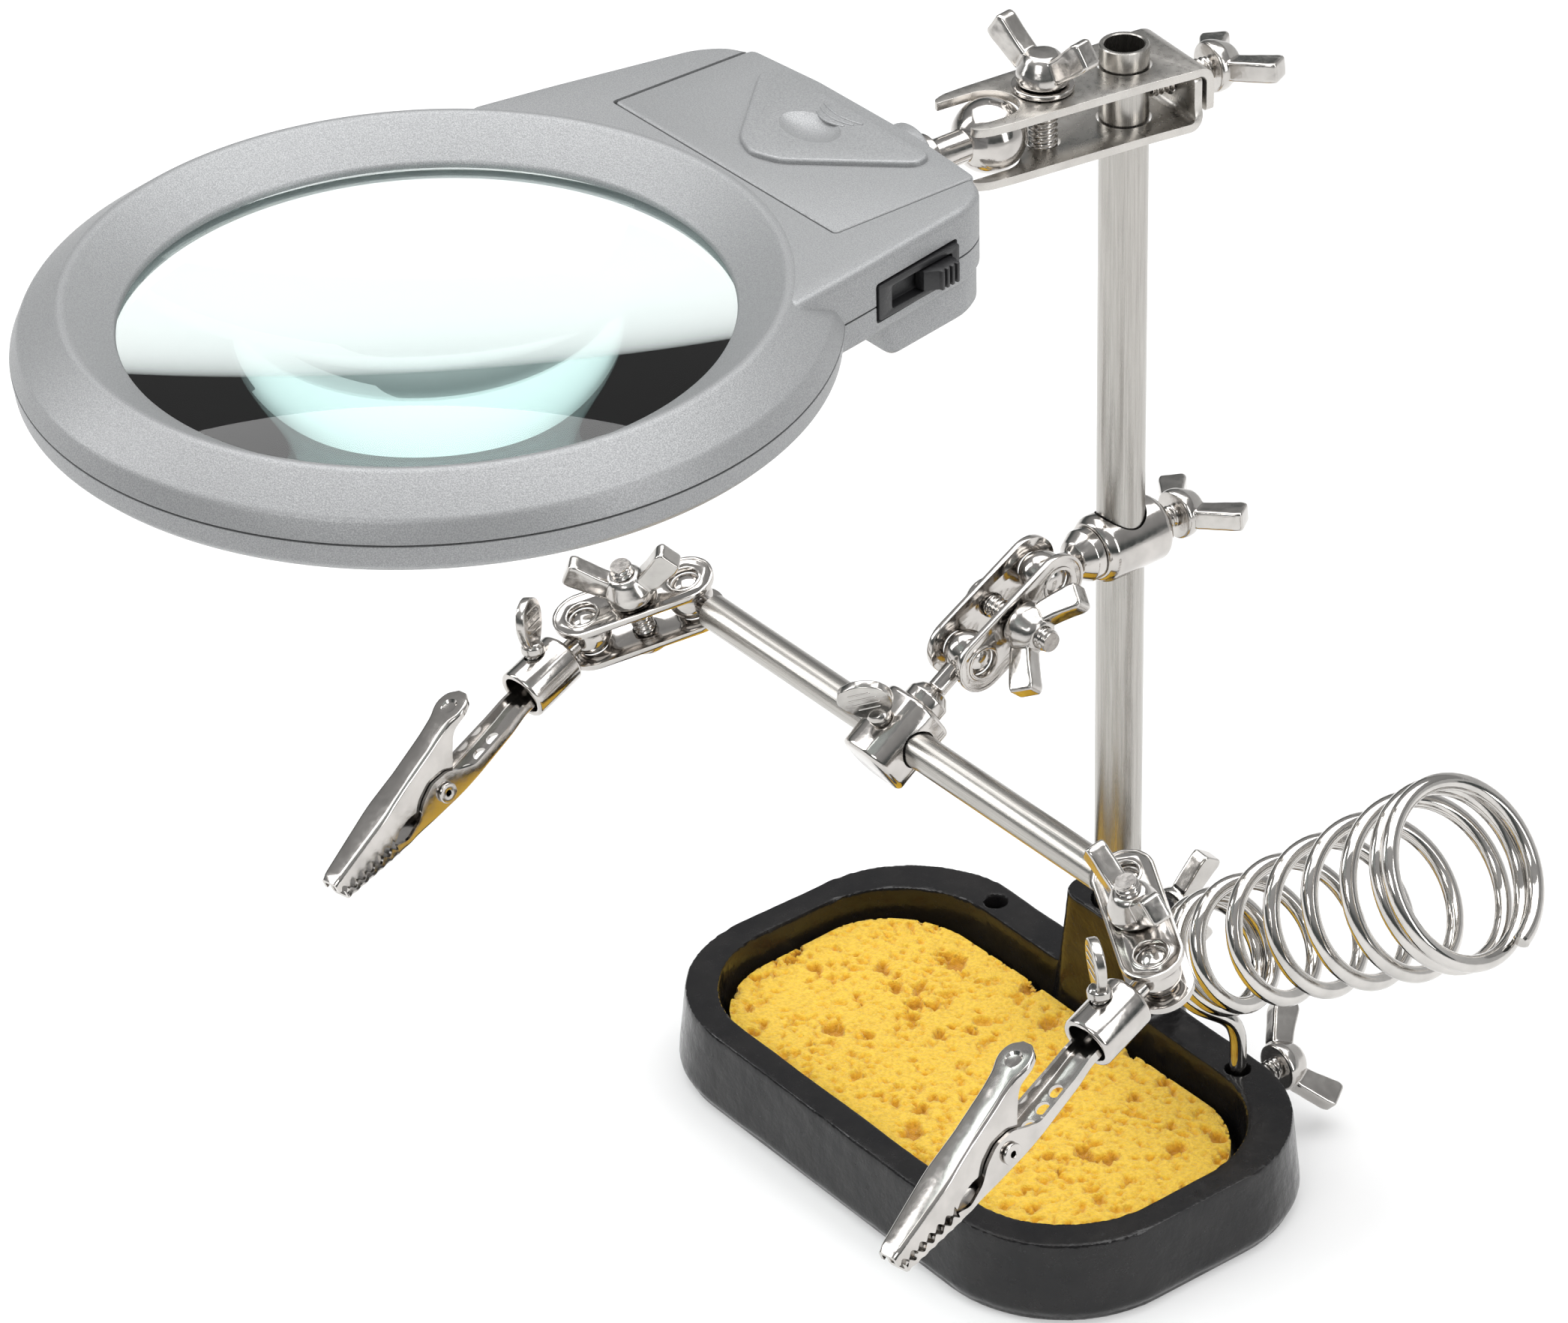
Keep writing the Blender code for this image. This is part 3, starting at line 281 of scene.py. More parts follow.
NICKEL = plated_metal("nickel_plate", (0.46, 0.44, 0.42), (0.58, 0.555, 0.53), 0.09, 0.17)
CAST_NICKEL = plated_metal("cast_nickel", (0.45, 0.43, 0.41), (0.57, 0.55, 0.525), 0.12, 0.24, 0.07)
SATIN_NICKEL = plated_metal("satin_nickel", (0.48, 0.46, 0.435), (0.57, 0.55, 0.52), 0.24, 0.34)
WIRE = plated_metal("bright_wire", (0.50, 0.485, 0.465), (0.62, 0.60, 0.575), 0.05, 0.09, 0.01)
POST_STEEL = drawn_tube("post_steel", 2)
BAR_STEEL = drawn_tube("bar_steel", 0)
SILVER = grained_plastic("silver_plastic", (0.25, 0.255, 0.26), (0.35, 0.355, 0.36), 0.42)
ENAMEL = cast_enamel()
FOAM = sponge_foam()
BLACK = moulded_black()
GLASS = lens_glass()
CELL = simple_plastic("cell_jacket", (0.03, 0.08, 0.2), (0.06, 0.14, 0.34), 0.35)
LAMP = simple_plastic("lamp_dome", (0.80, 0.80, 0.74), (0.92, 0.92, 0.88), 0.15)


# ---- mesh helpers

def add_object(name, data):
    item = bpy.data.objects.new(name, data)
    bpy.context.scene.collection.objects.link(item)
    return item


def mesh_from(bm, name="shape"):
    bmesh.ops.recalc_face_normals(bm, faces=bm.faces)
    mesh = bpy.data.meshes.new(name)
    bm.to_mesh(mesh)
    bm.free()
    return mesh


def moved(mesh, offset=(0, 0, 0), axis=None, angle=0.0):
    if axis is not None:
        mesh.transform(Matrix.Rotation(angle, 4, axis))
    mesh.transform(Matrix.Translation(Vector(offset)))
    return mesh


def joined(*meshes):
    """One mesh holding copies of the others, which are removed."""
    bm = bmesh.new()
    for mesh in meshes:
        bm.from_mesh(mesh)
        bpy.data.meshes.remove(mesh)
    out = bpy.data.meshes.new("joined")
    bm.to_mesh(out)
    bm.free()
    return out


def with_modifiers(mesh, *steps):
    """Apply (type, settings) modifiers to a millimetre mesh and return the result."""
    item = add_object("work", mesh)
    helpers = []
    for kind, settings in steps:
        modifier = item.modifiers.new(kind, kind)
        for key, value in settings.items():
            if isinstance(value, bpy.types.Mesh):
                value = add_object("helper", value)
                helpers.append(value)
            setattr(modifier, key, value)
    graph = bpy.context.evaluated_depsgraph_get()
    result = bpy.data.meshes.new_from_object(item.evaluated_get(graph))
    for used in [item] + helpers:
        old = used.data
        bpy.data.objects.remove(used, do_unlink=True)
        bpy.data.meshes.remove(old)
    return result


def boolean(operation, tool):
    return "BOOLEAN", {"object": tool, "operation": operation, "solver": "EXACT"}


def cut(mesh, *tools):
    return with_modifiers(mesh, *[boolean("DIFFERENCE", tool) for tool in tools])


def united(mesh, *others):
    return with_modifiers(mesh, *[boolean("UNION", other) for other in others])


def bevelled(mesh, width, segments=3, angle=30.0):
    settings = {"width": width, "segments": segments, "limit_method": "ANGLE",
                "angle_limit": radians(angle), "use_clamp_overlap": True}
    return with_modifiers(mesh, ("BEVEL", settings))


def fused(mesh, voxel, rounds, factor=0.5):
    """Weld overlapping shells into one smooth casting."""
    settings = {"mode": "VOXEL", "voxel_size": voxel, "use_smooth_shade": True}
    smoothing = {"factor": factor, "iterations": rounds}
    return with_modifiers(mesh, ("REMESH", settings), ("SMOOTH", smoothing))


def places_and_normals(mesh):
    place, normal = np.empty(len(mesh.vertices) * 3), np.empty(len(mesh.vertices) * 3)
    mesh.vertices.foreach_get("co", place)
    mesh.vertices.foreach_get("normal", normal)
    return place.reshape(-1, 3), normal.reshape(-1, 3)


def swollen(mesh, offset):
    """Move each vertex along its normal by offset(place), in millimetres."""
    place, normal = places_and_normals(mesh)
    amount = np.array([offset(Vector(p)) for p in place])
    mesh.vertices.foreach_set("co", (place + normal * amount[:, None]).ravel())
    mesh.update()
    return mesh


def prism(outline, low, high, top=None):
    bm = bmesh.new()
    bottom = [bm.verts.new((x, y, low)) for x, y in outline]
    upper = [bm.verts.new((x, y, high)) for x, y in (top or outline)]
    bm.faces.new(list(reversed(bottom)))
    bm.faces.new(upper)
    for i in range(len(bottom)):
        j = (i + 1) % len(bottom)
        bm.faces.new((bottom[i], bottom[j], upper[j], upper[i]))
    return mesh_from(bm)


def side_prism(outline, half):
    """A prism whose outline lies in the XZ plane, centred on Y = 0."""
    mesh = prism(outline, -half, half)
    mesh.transform(Matrix(((1, 0, 0, 0), (0, 0, 1, 0), (0, 1, 0, 0), (0, 0, 0, 1))))
    mesh.flip_normals()
    return mesh


def bridge(bm, first, second):
    for i in range(len(first)):
        j = (i + 1) % len(first)
        bm.faces.new((first[i], first[j], second[j], second[i]))


def turned(mesh, axis):
    """Turn a mesh drawn along Z so that it runs along X or Y instead."""
    if axis == "X":
        mesh.transform(Matrix.Rotation(pi / 2, 4, "Y"))
    if axis == "Y":
        mesh.transform(Matrix.Rotation(-pi / 2, 4, "X"))
    return mesh


def lathe(profile, steps=64, axis="Z"):
    """Revolve a closed (radius, height) profile; points on the axis close the ends."""
    bm = bmesh.new()
    rings = []
    for radius, height in profile:
        if radius < 1e-6:
            rings.append([bm.verts.new((0, 0, height))])
            continue
        spin = [2 * pi * i / steps for i in range(steps)]
        rings.append([bm.verts.new((radius * cos(a), radius * sin(a), height)) for a in spin])
    pairs = list(zip(rings, rings[1:]))
    if len(rings[0]) > 1 and len(rings[-1]) > 1:
        pairs.append((rings[-1], rings[0]))
    for first, second in pairs:
        if len(first) == 1 or len(second) == 1:
            tip, ring = (first[0], second) if len(first) == 1 else (second[0], first)
            for i in range(steps):
                bm.faces.new((tip, ring[i], ring[(i + 1) % steps]))
        else:
            bridge(bm, first, second)
    return turned(mesh_from(bm), axis)


def rod(radius, low, high, steps=32, axis="Z"):
    return lathe([(0, low), (radius, low), (radius, high), (0, high)], steps, axis)


def soft_rod(radius, low, high, edge, steps, axis):
    """A round bar with rounded rims."""
    quarter = [pi / 2 * i / 4 for i in range(5)]
    flat = radius - edge
    profile = [(flat + edge * sin(a), low + edge - edge * cos(a)) for a in quarter]
    profile += [(flat + edge * cos(a), high - edge + edge * sin(a)) for a in quarter]
    return lathe([(0, low)] + profile + [(0, high)], steps, axis)


def thread(radius, pitch, low, high):
    """A helical screw thread with a rounded crest that fades out at both closed ends."""
    rings_per_turn, steps, depth = 10, 28, 0.42
    count = int((high - low) / pitch * rings_per_turn)
    bm = bmesh.new()
    rings = []
    for k in range(count + 1):
        z = low + (high - low) * k / count
        ring = []
        for i in range(steps):
            a = 2 * pi * i / steps
            phase = (z / pitch - i / steps) % 1.0
            cut_in = depth * (0.5 + 0.5 * cos(2 * pi * phase))
            fade = min((z - low) / pitch, (high - z) / pitch, 0.5) * 2
            end_taper = 0.3 * (1 - fade)
            r = radius - cut_in * max(fade, 0.0) - end_taper
            ring.append(bm.verts.new((r * cos(a), r * sin(a), z)))
        rings.append(ring)
    bm.faces.new(list(reversed(rings[0])))
    bm.faces.new(rings[-1])
    for first, second in zip(rings, rings[1:]):
        bridge(bm, first, second)
    return mesh_from(bm)


def sweep(points, radius, sides):
    """A round wire along points, with a small rounded cap on each end."""
    bm = bmesh.new()
    rings = []
    normal = None
    count = len(points)
    for i, point in enumerate(points):
        along = (points[min(i + 1, count - 1)] - points[max(i - 1, 0)]).normalized()
        if normal is None:
            normal = along.orthogonal().normalized()
        normal = (normal - along * normal.dot(along)).normalized()
        other = along.cross(normal)
        ring = []
        for k in range(sides):
            a = 2 * pi * k / sides
            ring.append(bm.verts.new(point + (normal * cos(a) + other * sin(a)) * radius))
        rings.append(ring)
    for first, second in zip(rings, rings[1:]):
        bridge(bm, first, second)
    for ring, end in ((rings[0], points[0] - points[1]), (rings[-1], points[-1] - points[-2])):
        middle = sum((v.co for v in ring), Vector()) / sides
        push = end.normalized() * radius * 0.25
        inner = [bm.verts.new(middle + (v.co - middle) * 0.75 + push) for v in ring]
        bridge(bm, ring, inner)
        bm.faces.new(inner)
    return mesh_from(bm)


def arc(cx, cy, radius, start, end, steps):
    angles = [radians(start + (end - start) * i / steps) for i in range(steps + 1)]
    return [(cx + radius * cos(a), cy + radius * sin(a)) for a in angles]


def rounded_rectangle(x_low, x_high, y_low, y_high, radius, steps=16):
    return (arc(x_high - radius, y_high - radius, radius, 0, 90, steps)
            + arc(x_low + radius, y_high - radius, radius, 90, 180, steps)
            + arc(x_low + radius, y_low + radius, radius, 180, 270, steps)
            + arc(x_high - radius, y_low + radius, radius, 270, 360, steps))


def corner_curve(before, here, after, radius, steps):
    """A short quadratic curve that replaces one corner; it uses up under half of each side."""
    here = Vector(here)
    back, on = Vector(before) - here, Vector(after) - here
    first = here + back.normalized() * min(radius, back.length * 0.45)
    last = here + on.normalized() * min(radius, on.length * 0.45)
    out = []
    for k in range(steps + 1):
        t = k / steps
        out.append(tuple(first * (1 - t) ** 2 + here * 2 * t * (1 - t) + last * t * t))
    return out


def soft_profile(points, radius):
    """Round the inner corners of an open lathe profile; its two ends stay put."""
    out = [points[0]]
    for before, here, after in zip(points, points[1:], points[2:]):
        out += corner_curve(before, here, after, radius, 4)
    return out + [points[-1]]


def rounded_corners(points, radius, steps=5):
    """Round every corner of a closed outline."""
    out = []
    for i, here in enumerate(points):
        out += corner_curve(points[i - 1], here, points[(i + 1) % len(points)], radius, steps)
    return out


def mirrored(side):
    return [(x, -y) for x, y in reversed(side)] + side


def piece(mesh, matrix, material, body, node, sharp=SHARP):
    """Place a millimetre mesh in the row frame, on its body, in place of its CAD node."""
    mesh.transform(matrix)
    mesh.name = node + "_fine"
    item = add_object(mesh.name, mesh)
    mesh.materials.clear()
    mesh.materials.append(material)
    mesh.shade_smooth()
    mesh.set_sharp_from_angle(angle=sharp)
    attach(item, body)
    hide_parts(node)
    return item


WORLD = Matrix.Scale(MM, 4)
POST = pivot("post_turn").xy.to_3d()
BALL = pivot("magnifier_tilt")
BAR = pivot("left_link_swing") * Vector((0, 1, 1))


# ---- base and sponge

def build_base():
    def ring(grow):
        return rounded_rectangle(-55.7 - grow, 55.7 + grow, -33.45 - grow, 33.45 + grow, 23.7 + grow)

    lower = prism(ring(0.0), 0.0, 2.5, ring(1.35))
    upper = prism(ring(1.35), 2.4, 15.5, ring(-0.05))
    boss = prism(rounded_rectangle(-13.5, 13.5, 23.6, 37.7, 4.2, 6), 0.0, 33.1,
                 rounded_rectangle(-8.9, 8.9, 23.8, 36.8, 3.6, 6))
    tray = prism(rounded_rectangle(-49.4, 49.4, -27.2, 24.9, 19.0), 4.2, 16.5,
                 rounded_rectangle(-50.3, 50.3, -28.0, 25.7, 19.8))
    bores = [moved(rod(POST_HOLE, 4.6, 40.0, 48), POST)]
    bores += [moved(rod(HOLE_RADIUS, 5.0, 20.0, 24), (x, HOLE_Y, 0)) for x in (-HOLE_X, HOLE_X)]
    body = cut(united(upper, lower), tray)
    body = cut(united(body, boss), *bores)
    body = fused(body, 0.55, 4, 0.6)

    def lumps(place):
        """Casting lumps, none underneath or round the post's hole."""
        if place.z < 0.8 or (place.xy - POST.xy).length < 5.2:
            return 0.0
        return noise.noise(place * 0.085) * 0.16 + noise.noise(place * 0.33) * 0.05 - 0.12

    swollen(body, lumps)
    for vertex in body.vertices:
        vertex.co.z = max(vertex.co.z, 0.0)
    piece(body, WORLD, ENAMEL, "base", "base_casting")


def build_sponge():
    """Open-celled cellulose: pores of every size are pushed into a fine block."""
    block = prism(rounded_rectangle(-48.7, 48.7, -26.4, 22.7, 17.6, 20), 4.6, 10.9)
    block = fused(block, 0.4, 3)
    place, normal = places_and_normals(block)
    warp = np.array([noise.noise_vector(Vector(p) * 0.55) for p in place]) * 1.1
    warp += np.array([noise.noise_vector(Vector(p) * 1.6) for p in place]) * 0.45
    rng = np.random.default_rng(7)
    depth = np.zeros(len(place))
    for radius, number in ((1.7, 40), (1.05, 170), (0.7, 1100), (0.45, 4200)):
        spots = np.column_stack((rng.uniform(-50, 50, number), rng.uniform(-28, 24, number),
                                 rng.uniform(4.0, 11.6, number)))
        spots[: number * 2 // 3, 2] = rng.uniform(10.2, 11.5, number * 2 // 3)
        size = radius * rng.uniform(0.6, 1.25, number)
        for spot, reach in zip(spots, size):
            near = np.abs(place[:, 0] - spot[0]) < reach * 2 + 1.6
            inside = np.linalg.norm(place[near] + warp[near] - spot, axis=1) / reach
            hollow = np.clip(4.0 - 4.0 * inside, 0.0, 1.0) * min(reach * 1.1, 1.6)
            depth[near] = np.maximum(depth[near], hollow)
    swell = np.array([noise.noise(Vector(p) * 0.06) for p in place]) * 0.35
    place += normal * (swell - 0.3 - depth)[:, None]
    place[:, 2] = np.clip(place[:, 2], 4.5, 11.0)
    block.vertices.foreach_set("co", place.ravel())
    # The pore depth is kept for the sponge material, which paints shade into the pores from it.
    layer = block.attributes.new("depth", "FLOAT", "POINT")
    layer.data.foreach_set("value", np.clip(depth / 2.0, 0.0, 1.0))
    item = piece(block, WORLD, FOAM, "sponge", "cleaning_sponge", sharp=SPONGE_SHARP)


# ---- wing screws and nuts

def wing_blank():
    """A die-cast winged head seated at Z = 0; the wings thin out to blunt round ends."""
    side = [(4.4, 1.3), (9.5, 5.0), (10.4, 6.1), (8.1, 9.5), (7.0, 9.2), (3.9, 6.0), (1.8, 4.2)]
    outline = [(0.0, 0.8)] + side + [(-x, z) for x, z in reversed(side)]
    wings = bevelled(side_prism(rounded_corners(outline, 0.55), 1.7), 0.45, 3, 60.0)
    profile = [(0, 0.02), (4.1, 0.02), (4.3, 0.7), (4.2, 1.9), (3.1, 4.3), (2.4, 5.0), (0, 5.1)]
    hub = lathe(soft_profile(profile, 0.35), 64)
    mesh = fused(joined(wings, hub), 0.2, 2)
    return swollen(mesh, lambda place: noise.noise(place * 0.45) * 0.05)


WING_HEAD = wing_blank()
WING_NUT = cut(WING_HEAD.copy(), rod(2.0, -1.0, 12.0, 32))


def wing_screw(body, head_at, towards, wing_dir, length):
    mesh = joined(WING_HEAD.copy(), thread(SCREW_RADIUS, SCREW_PITCH, -length, 0.6))
    node = body.replace("_screw", "_wing_screw")
    piece(mesh, basis(head_at, wing_dir, towards), CAST_NICKEL, body, node)


def build_screws():
    for body, head_y, wing_dir, length in (("post_screw", 41.4, (0.1, 0, 1), 7.4),
                                           ("holder_screw", 37.6, (1, 0, -0.9), 6.6),
                                           ("collar_screw", 40.9, (1, 0, 0.1), 6.6)):
        spot = pivot(body + "_turn")
        wing_screw(body, (spot.x, head_y, spot.z), (0, 1, 0), wing_dir, length)
    away = direction("clamp_end_screw_turn")
    head = Vector((POST.x, POST.y, BALL.z)) + away * 15.8
    wing_screw("clamp_end_screw", head, away, (away.y, -away.x, 0.15), 11.4)


# ---- post and iron holder

def tube(outer, inner, low, high, axis="Z"):
    edge = 0.18
    profile = [(inner, low + edge), (inner + edge, low), (outer - edge, low), (outer, low + edge),
               (outer, high - edge), (outer - edge, high), (inner + edge, high), (inner, high - edge)]
    return lathe(profile, 96, axis)


def build_post():
    mesh = tube(POST_RADIUS, POST_BORE, POST_BOTTOM, POST_TOP)
    piece(moved(mesh, POST), WORLD, POST_STEEL, "post", "post_tube")


def coil_points():
    """A leg, a lead-in bend, then a widening coil with close turns at both ends."""
    flat = cos(COIL_ELEVATION)
    along = Vector((cos(COIL_AZIMUTH) * flat, sin(COIL_AZIMUTH) * flat, sin(COIL_ELEVATION)))
    side = Vector((sin(COIL_AZIMUTH), -cos(COIL_AZIMUTH), 0.0))
    up = -along.cross(side)
    tight, turns = COIL_TIGHT_PITCH, COIL_TURNS
    open_pitch = (COIL_LENGTH - 4 * tight) / (turns - 4)

    def at(turn):
        close = min(turn, 2.0) + max(turn - turns + 2, 0.0)
        distance = close * tight + min(max(turn - 2.0, 0.0), turns - 4) * open_pitch
        share = min(distance / (COIL_LENGTH - tight), 1.0)
        radius = COIL_SMALL_RADIUS + COIL_WIDENING * share
        angle = 2 * pi * turn
        outward = side * sin(angle) - up * cos(angle)
        return COIL_START + along * distance + outward * radius

    first = 0.125
    tangent = (at(first + 0.01) - at(first)).normalized()
    leg_top = Vector((HOLE_X, HOLE_Y, 19.5))
    controls = (leg_top, leg_top + Vector((0, 0, 7)), at(first) - tangent * 4.5, at(first))
    points = [Vector((HOLE_X, HOLE_Y, z)) for z in (4.7, 8.0, 12.0, 16.0)]
    for i in range(16):
        t = i / 16
        weights = ((1 - t) ** 3, 3 * t * (1 - t) ** 2, 3 * t * t * (1 - t), t ** 3)
        points.append(sum((c * w for c, w in zip(controls, weights)), Vector()))
    steps = round((turns - first) * 56)
    return points + [at(first + (turns - 0.03 - first) * i / steps) for i in range(steps + 1)]


def build_coil():
    wire = sweep(coil_points(), WIRE_RADIUS, 20)
    piece(wire, WORLD, WIRE, "iron_holder", "iron_holder_coil")


# ---- top clamp

def bent_plate(start, reach, tail, flange_half, hole_at, inside):
    """A stamped plate cut flat, then folded down behind the post."""
    low, high = PLATE_LOW, PLATE_HIGH
    side = [(-tail, flange_half), (-11.0, flange_half), (-8.0, 8.4), (0.0, 7.9), (reach, 7.2),
            (reach + 4.0, 6.9), (reach + 6.4, 5.9)]
    sheet = prism(rounded_corners([(x, -y) for x, y in reversed(side)] + side, 0.9), low, high)
    under, over = low - 1, high + 1
    slot = prism(arc(reach, 0, 4.8, 90, 270, 32) + [(reach + 12, -4.8), (reach + 12, 4.8)],
                 under, over)
    holes = [rod(4.4, under, over, 64), moved(rod(2.8, under, over, 40), (reach - BOLT_SETBACK, 0, 0)),
             moved(rod(2.3, under, over, 40), (hole_at, 0, 0))]
    sheet = cut(sheet, slot, *holes)
    sheet = bevelled(sheet, 0.22, 3)
    bm = bmesh.new()
    bm.from_mesh(sheet)
    neutral = inside + 0.7
    arc_length = neutral * pi / 2
    for i in range(15):
        x = start - arc_length * i / 14
        everything = bm.verts[:] + bm.edges[:] + bm.faces[:]
        bmesh.ops.bisect_plane(bm, geom=everything, plane_co=(x, 0, 0), plane_no=(1, 0, 0))
    for vertex in bm.verts:
        back = start - vertex.co.x
        if back <= 0:
            continue
        turn = min(back, arc_length) / neutral
        radius = inside + vertex.co.z - low
        vertex.co.x = start - radius * sin(turn)
        vertex.co.z = low - inside + radius * cos(turn) - max(back - arc_length, 0.0)
    return mesh_from(bm)


def build_clamp():
    toward = (BALL - POST) * Vector((1, 1, 0))
    reach = toward.length
    place = basis((POST.x, POST.y, BALL.z), toward, (0, 0, 1))
    bolt_x = reach - BOLT_SETBACK
    upper = bent_plate(-8.6, reach, 17.26, 8.0, -14.56, 1.6)
    piece(upper, place, SATIN_NICKEL, "clamp", "upper_clamp_plate")
    lower = bent_plate(-7.0, reach, 16.13, 7.6, -12.73, 1.2)
    lower.transform(Matrix.Diagonal((1, 1, -1, 1)))
    lower.flip_normals()
    piece(lower, place, SATIN_NICKEL, "clamp", "lower_clamp_plate")
    ring = lathe(rounded_corners([(2.8, 5.5), (5.0, 5.5), (5.0, 6.35), (2.8, 6.35)], 0.25), 64)
    piece(moved(ring, (bolt_x, 0, 0)), place, NICKEL, "clamp", "clamp_washer")
    bolt = joined(WING_HEAD.copy(), thread(2.4, SCREW_PITCH, -12.4, 0.6))
    bolt = moved(bolt, (bolt_x, 0, 6.55), "Z", radians(106))
    piece(bolt, place, CAST_NICKEL, "clamp_bolt", "clamp_wing_bolt")


# ---- magnifier

MAGNIFIER = basis(BALL, (0, -1, 0), (0, 0, 1))
COVER_SIDE = [(23.6, 12.0), (24.8, 26.2), (25.3, 27.1), (BAY_FAR - 0.45, 27.1)]


def magnifier_solid():
    section = [(APERTURE, 0.9), (46.7, -0.1), (59.0, -0.1), (60.6, 1.5), (61.0, SEAM_Z),
               (59.6, 8.3), (53.5, 12.85), (52.5, 12.85), (APERTURE, 7.8)]
    ring = moved(lathe(rounded_corners(section, 0.55, 4), 240), (LENS_X, 0, 0))
    neck_side = [(23.6, 12.0), (24.8, 26.2), (27.0, 31.0), (31.5, 33.8), (56.0, 38.4), (70.0, 40.6)]
    neck = prism(rounded_corners(mirrored(neck_side), 2.2, 6), -0.1, NECK_TOP)
    neck = bevelled(neck, 1.3, 5, 50.0)
    neck = cut(neck, moved(rod(RIDGE - 0.2, -20, 30, 240), (LENS_X, 0, 0)))
    foot_side = [(23.8, 11.8), (25.1, 25.9), (27.3, 30.6), (31.8, 33.4), (48.6, 36.2)]
    foot = rounded_corners(mirrored(foot_side), 2.2, 6)
    shoulder = [(x + (2.6 if x > 40 else 0.0), y) for x, y in foot]
    block = bevelled(prism(foot, -5.8, 3.0, shoulder), 1.0, 4, 50.0)
    boss = moved(soft_rod(6.2, 15.0, 27.0, 0.7, 64, "X"), (0, 0, 0.9))
    return united(ring, neck, block, boss)


def magnifier_cavity():
    side = [(25.8, 12.0), (26.8, 25.2), (28.8, 29.4), (32.6, 31.6), (52.4, 35.4)]
    neck = prism(mirrored(side), 1.7, NECK_TOP - 1.8)
    side = [(26.1, 11.7), (27.1, 24.9), (29.1, 29.0), (32.9, 31.2), (46.6, 34.0)]
    block = prism(mirrored(side), -4.0, 2.7)
    groove = lathe([(40.0, 2.4), (48.0, 2.4), (48.0, 7.0), (40.0, 7.0)], 240)
    moved(groove, (LENS_X, 0, 0))
    stud = rod(2.4, 5.0, 27.0, 32, "X")
    trough = moved(rod(CELL_RADIUS + 0.3, -22.8, 22.8, 40, "Y"), (CELL_X[1], 0, CELL_Z))
    window = prism(rounded_rectangle(-9.2, 9.2, -3.3, 3.3, 0.6, 5), -4.0, 4.0)
    window.transform(Matrix.Rotation(pi / 2, 4, "X"))
    moved(window, SWITCH_AT, "Z", SWITCH_TAPER)
    lamps = [moved(rod(2.9, -20, 4, 32), (LAMP_X, y, 0)) for y in (-LAMP_Y, LAMP_Y)]
    return [neck, block, groove, stud, trough, window] + lamps


def build_housing():
    slab = [(0, -80), (180, -80), (180, 80), (0, 80)]
    solid = cut(magnifier_solid(), *magnifier_cavity())
    bay = prism(rounded_rectangle(10.0, BAY_FAR, -BAY_HALF, BAY_HALF, 0.8, 4), NECK_TOP - 1.9, 20.0)
    upper = cut(solid.copy(), prism(slab, -30, SEAM_Z + 0.16), bay)
    lower = cut(solid, prism(slab, SEAM_Z - 0.16, 40))
    for mesh, node in ((upper, "upper_housing"), (lower, "lower_housing")):
        piece(mesh, MAGNIFIER, SILVER, "magnifier", node, sharp=HOUSING_SHARP)


def build_lens():
    """A biconvex lens held in the ring's groove."""
    rim, edge, sag = 47.4, 1.2, 5.2
    radius = (rim ** 2 + sag ** 2) / (2 * sag)
    profile = []
    for i in range(41):
        r = rim * i / 40
        profile.append((r, -(edge + sqrt(radius ** 2 - r ** 2) - radius + sag)))
    upper = [(r, -z) for r, z in reversed(profile)]
    glass = lathe(profile + upper, 160)
    moved(glass, (LENS_X, 0, 4.8))
    piece(glass, MAGNIFIER, GLASS, "magnifier", "magnifying_lens")


def build_cover():
    """The sliding battery cover with its raised finger pad, dished grip and pull marks."""
    sheet = prism(rounded_corners(mirrored(COVER_SIDE), 0.8), NECK_TOP - 1.6, NECK_TOP)
    sheet = bevelled(sheet, 0.35, 3, 50.0)
    pad_side = [(26.4, 18.4), (29.6, 19.4), (44.8, 5.0), (46.6, 0.0)]
    pad_plan = rounded_corners([(x, -y) for x, y in pad_side[:-1]] + pad_side[::-1], 1.8)
    pad = bevelled(prism(pad_plan, NECK_TOP - 0.6, NECK_TOP + 0.9), 0.5, 4, 50.0)
    dish = lathe([(0, -0.9)] + [(6.6 * sin(a), 3.0 - 3.9 * cos(a))
                                for a in np.linspace(0.12, pi / 2, 12)] + [(0, 3.0)], 64)
    dish.transform(Matrix.Diagonal((0.78, 1.2, 1.0, 1.0)))
    moved(dish, (35.0, 0.0, NECK_TOP + 0.5))
    cover = with_modifiers(sheet, boolean("UNION", pad), boolean("DIFFERENCE", dish))
    marks = []
    for index in range(3):
        x = 29.4 + 1.25 * index
        half = 4.6 - 0.7 * index
        line = [Vector((x - 0.9 * (y / half) ** 2, y, NECK_TOP + 0.86))
                for y in np.linspace(-half, half, 16)]
        marks.append(sweep(line, 0.24, 10))
    piece(joined(cover, *marks), MAGNIFIER, SILVER, "battery_cover", "battery_cover",
          sharp=HOUSING_SHARP)


def build_cells():
    """Two cells with their contact tips, and the two lamps beside them."""
    for index, x in enumerate(CELL_X):
        profile = soft_profile([(0, -22.25), (CELL_RADIUS, -22.25), (CELL_RADIUS, 21.4), (1.9, 21.4),
                                (1.9, 22.2), (0, 22.2)], 0.4)
        cell = moved(lathe(profile, 48, "Y"), (x, 0, CELL_Z))
        piece(cell, MAGNIFIER, CELL, "magnifier", "battery_cell_%d" % (index + 1))
        lamp_profile = [(2.5 * sin(a), 0.9 - 2.5 * cos(a))
                        for a in np.linspace(0, pi / 2, 9)]
        lamp = lathe([(0, -1.6)] + lamp_profile[1:] + [(2.5, 3.6), (0, 3.6)], 32)
        moved(lamp, (LAMP_X, LAMP_Y * (1 - 2 * index), 0))
        piece(lamp, MAGNIFIER, LAMP, "magnifier", "led_%d" % (index + 1))


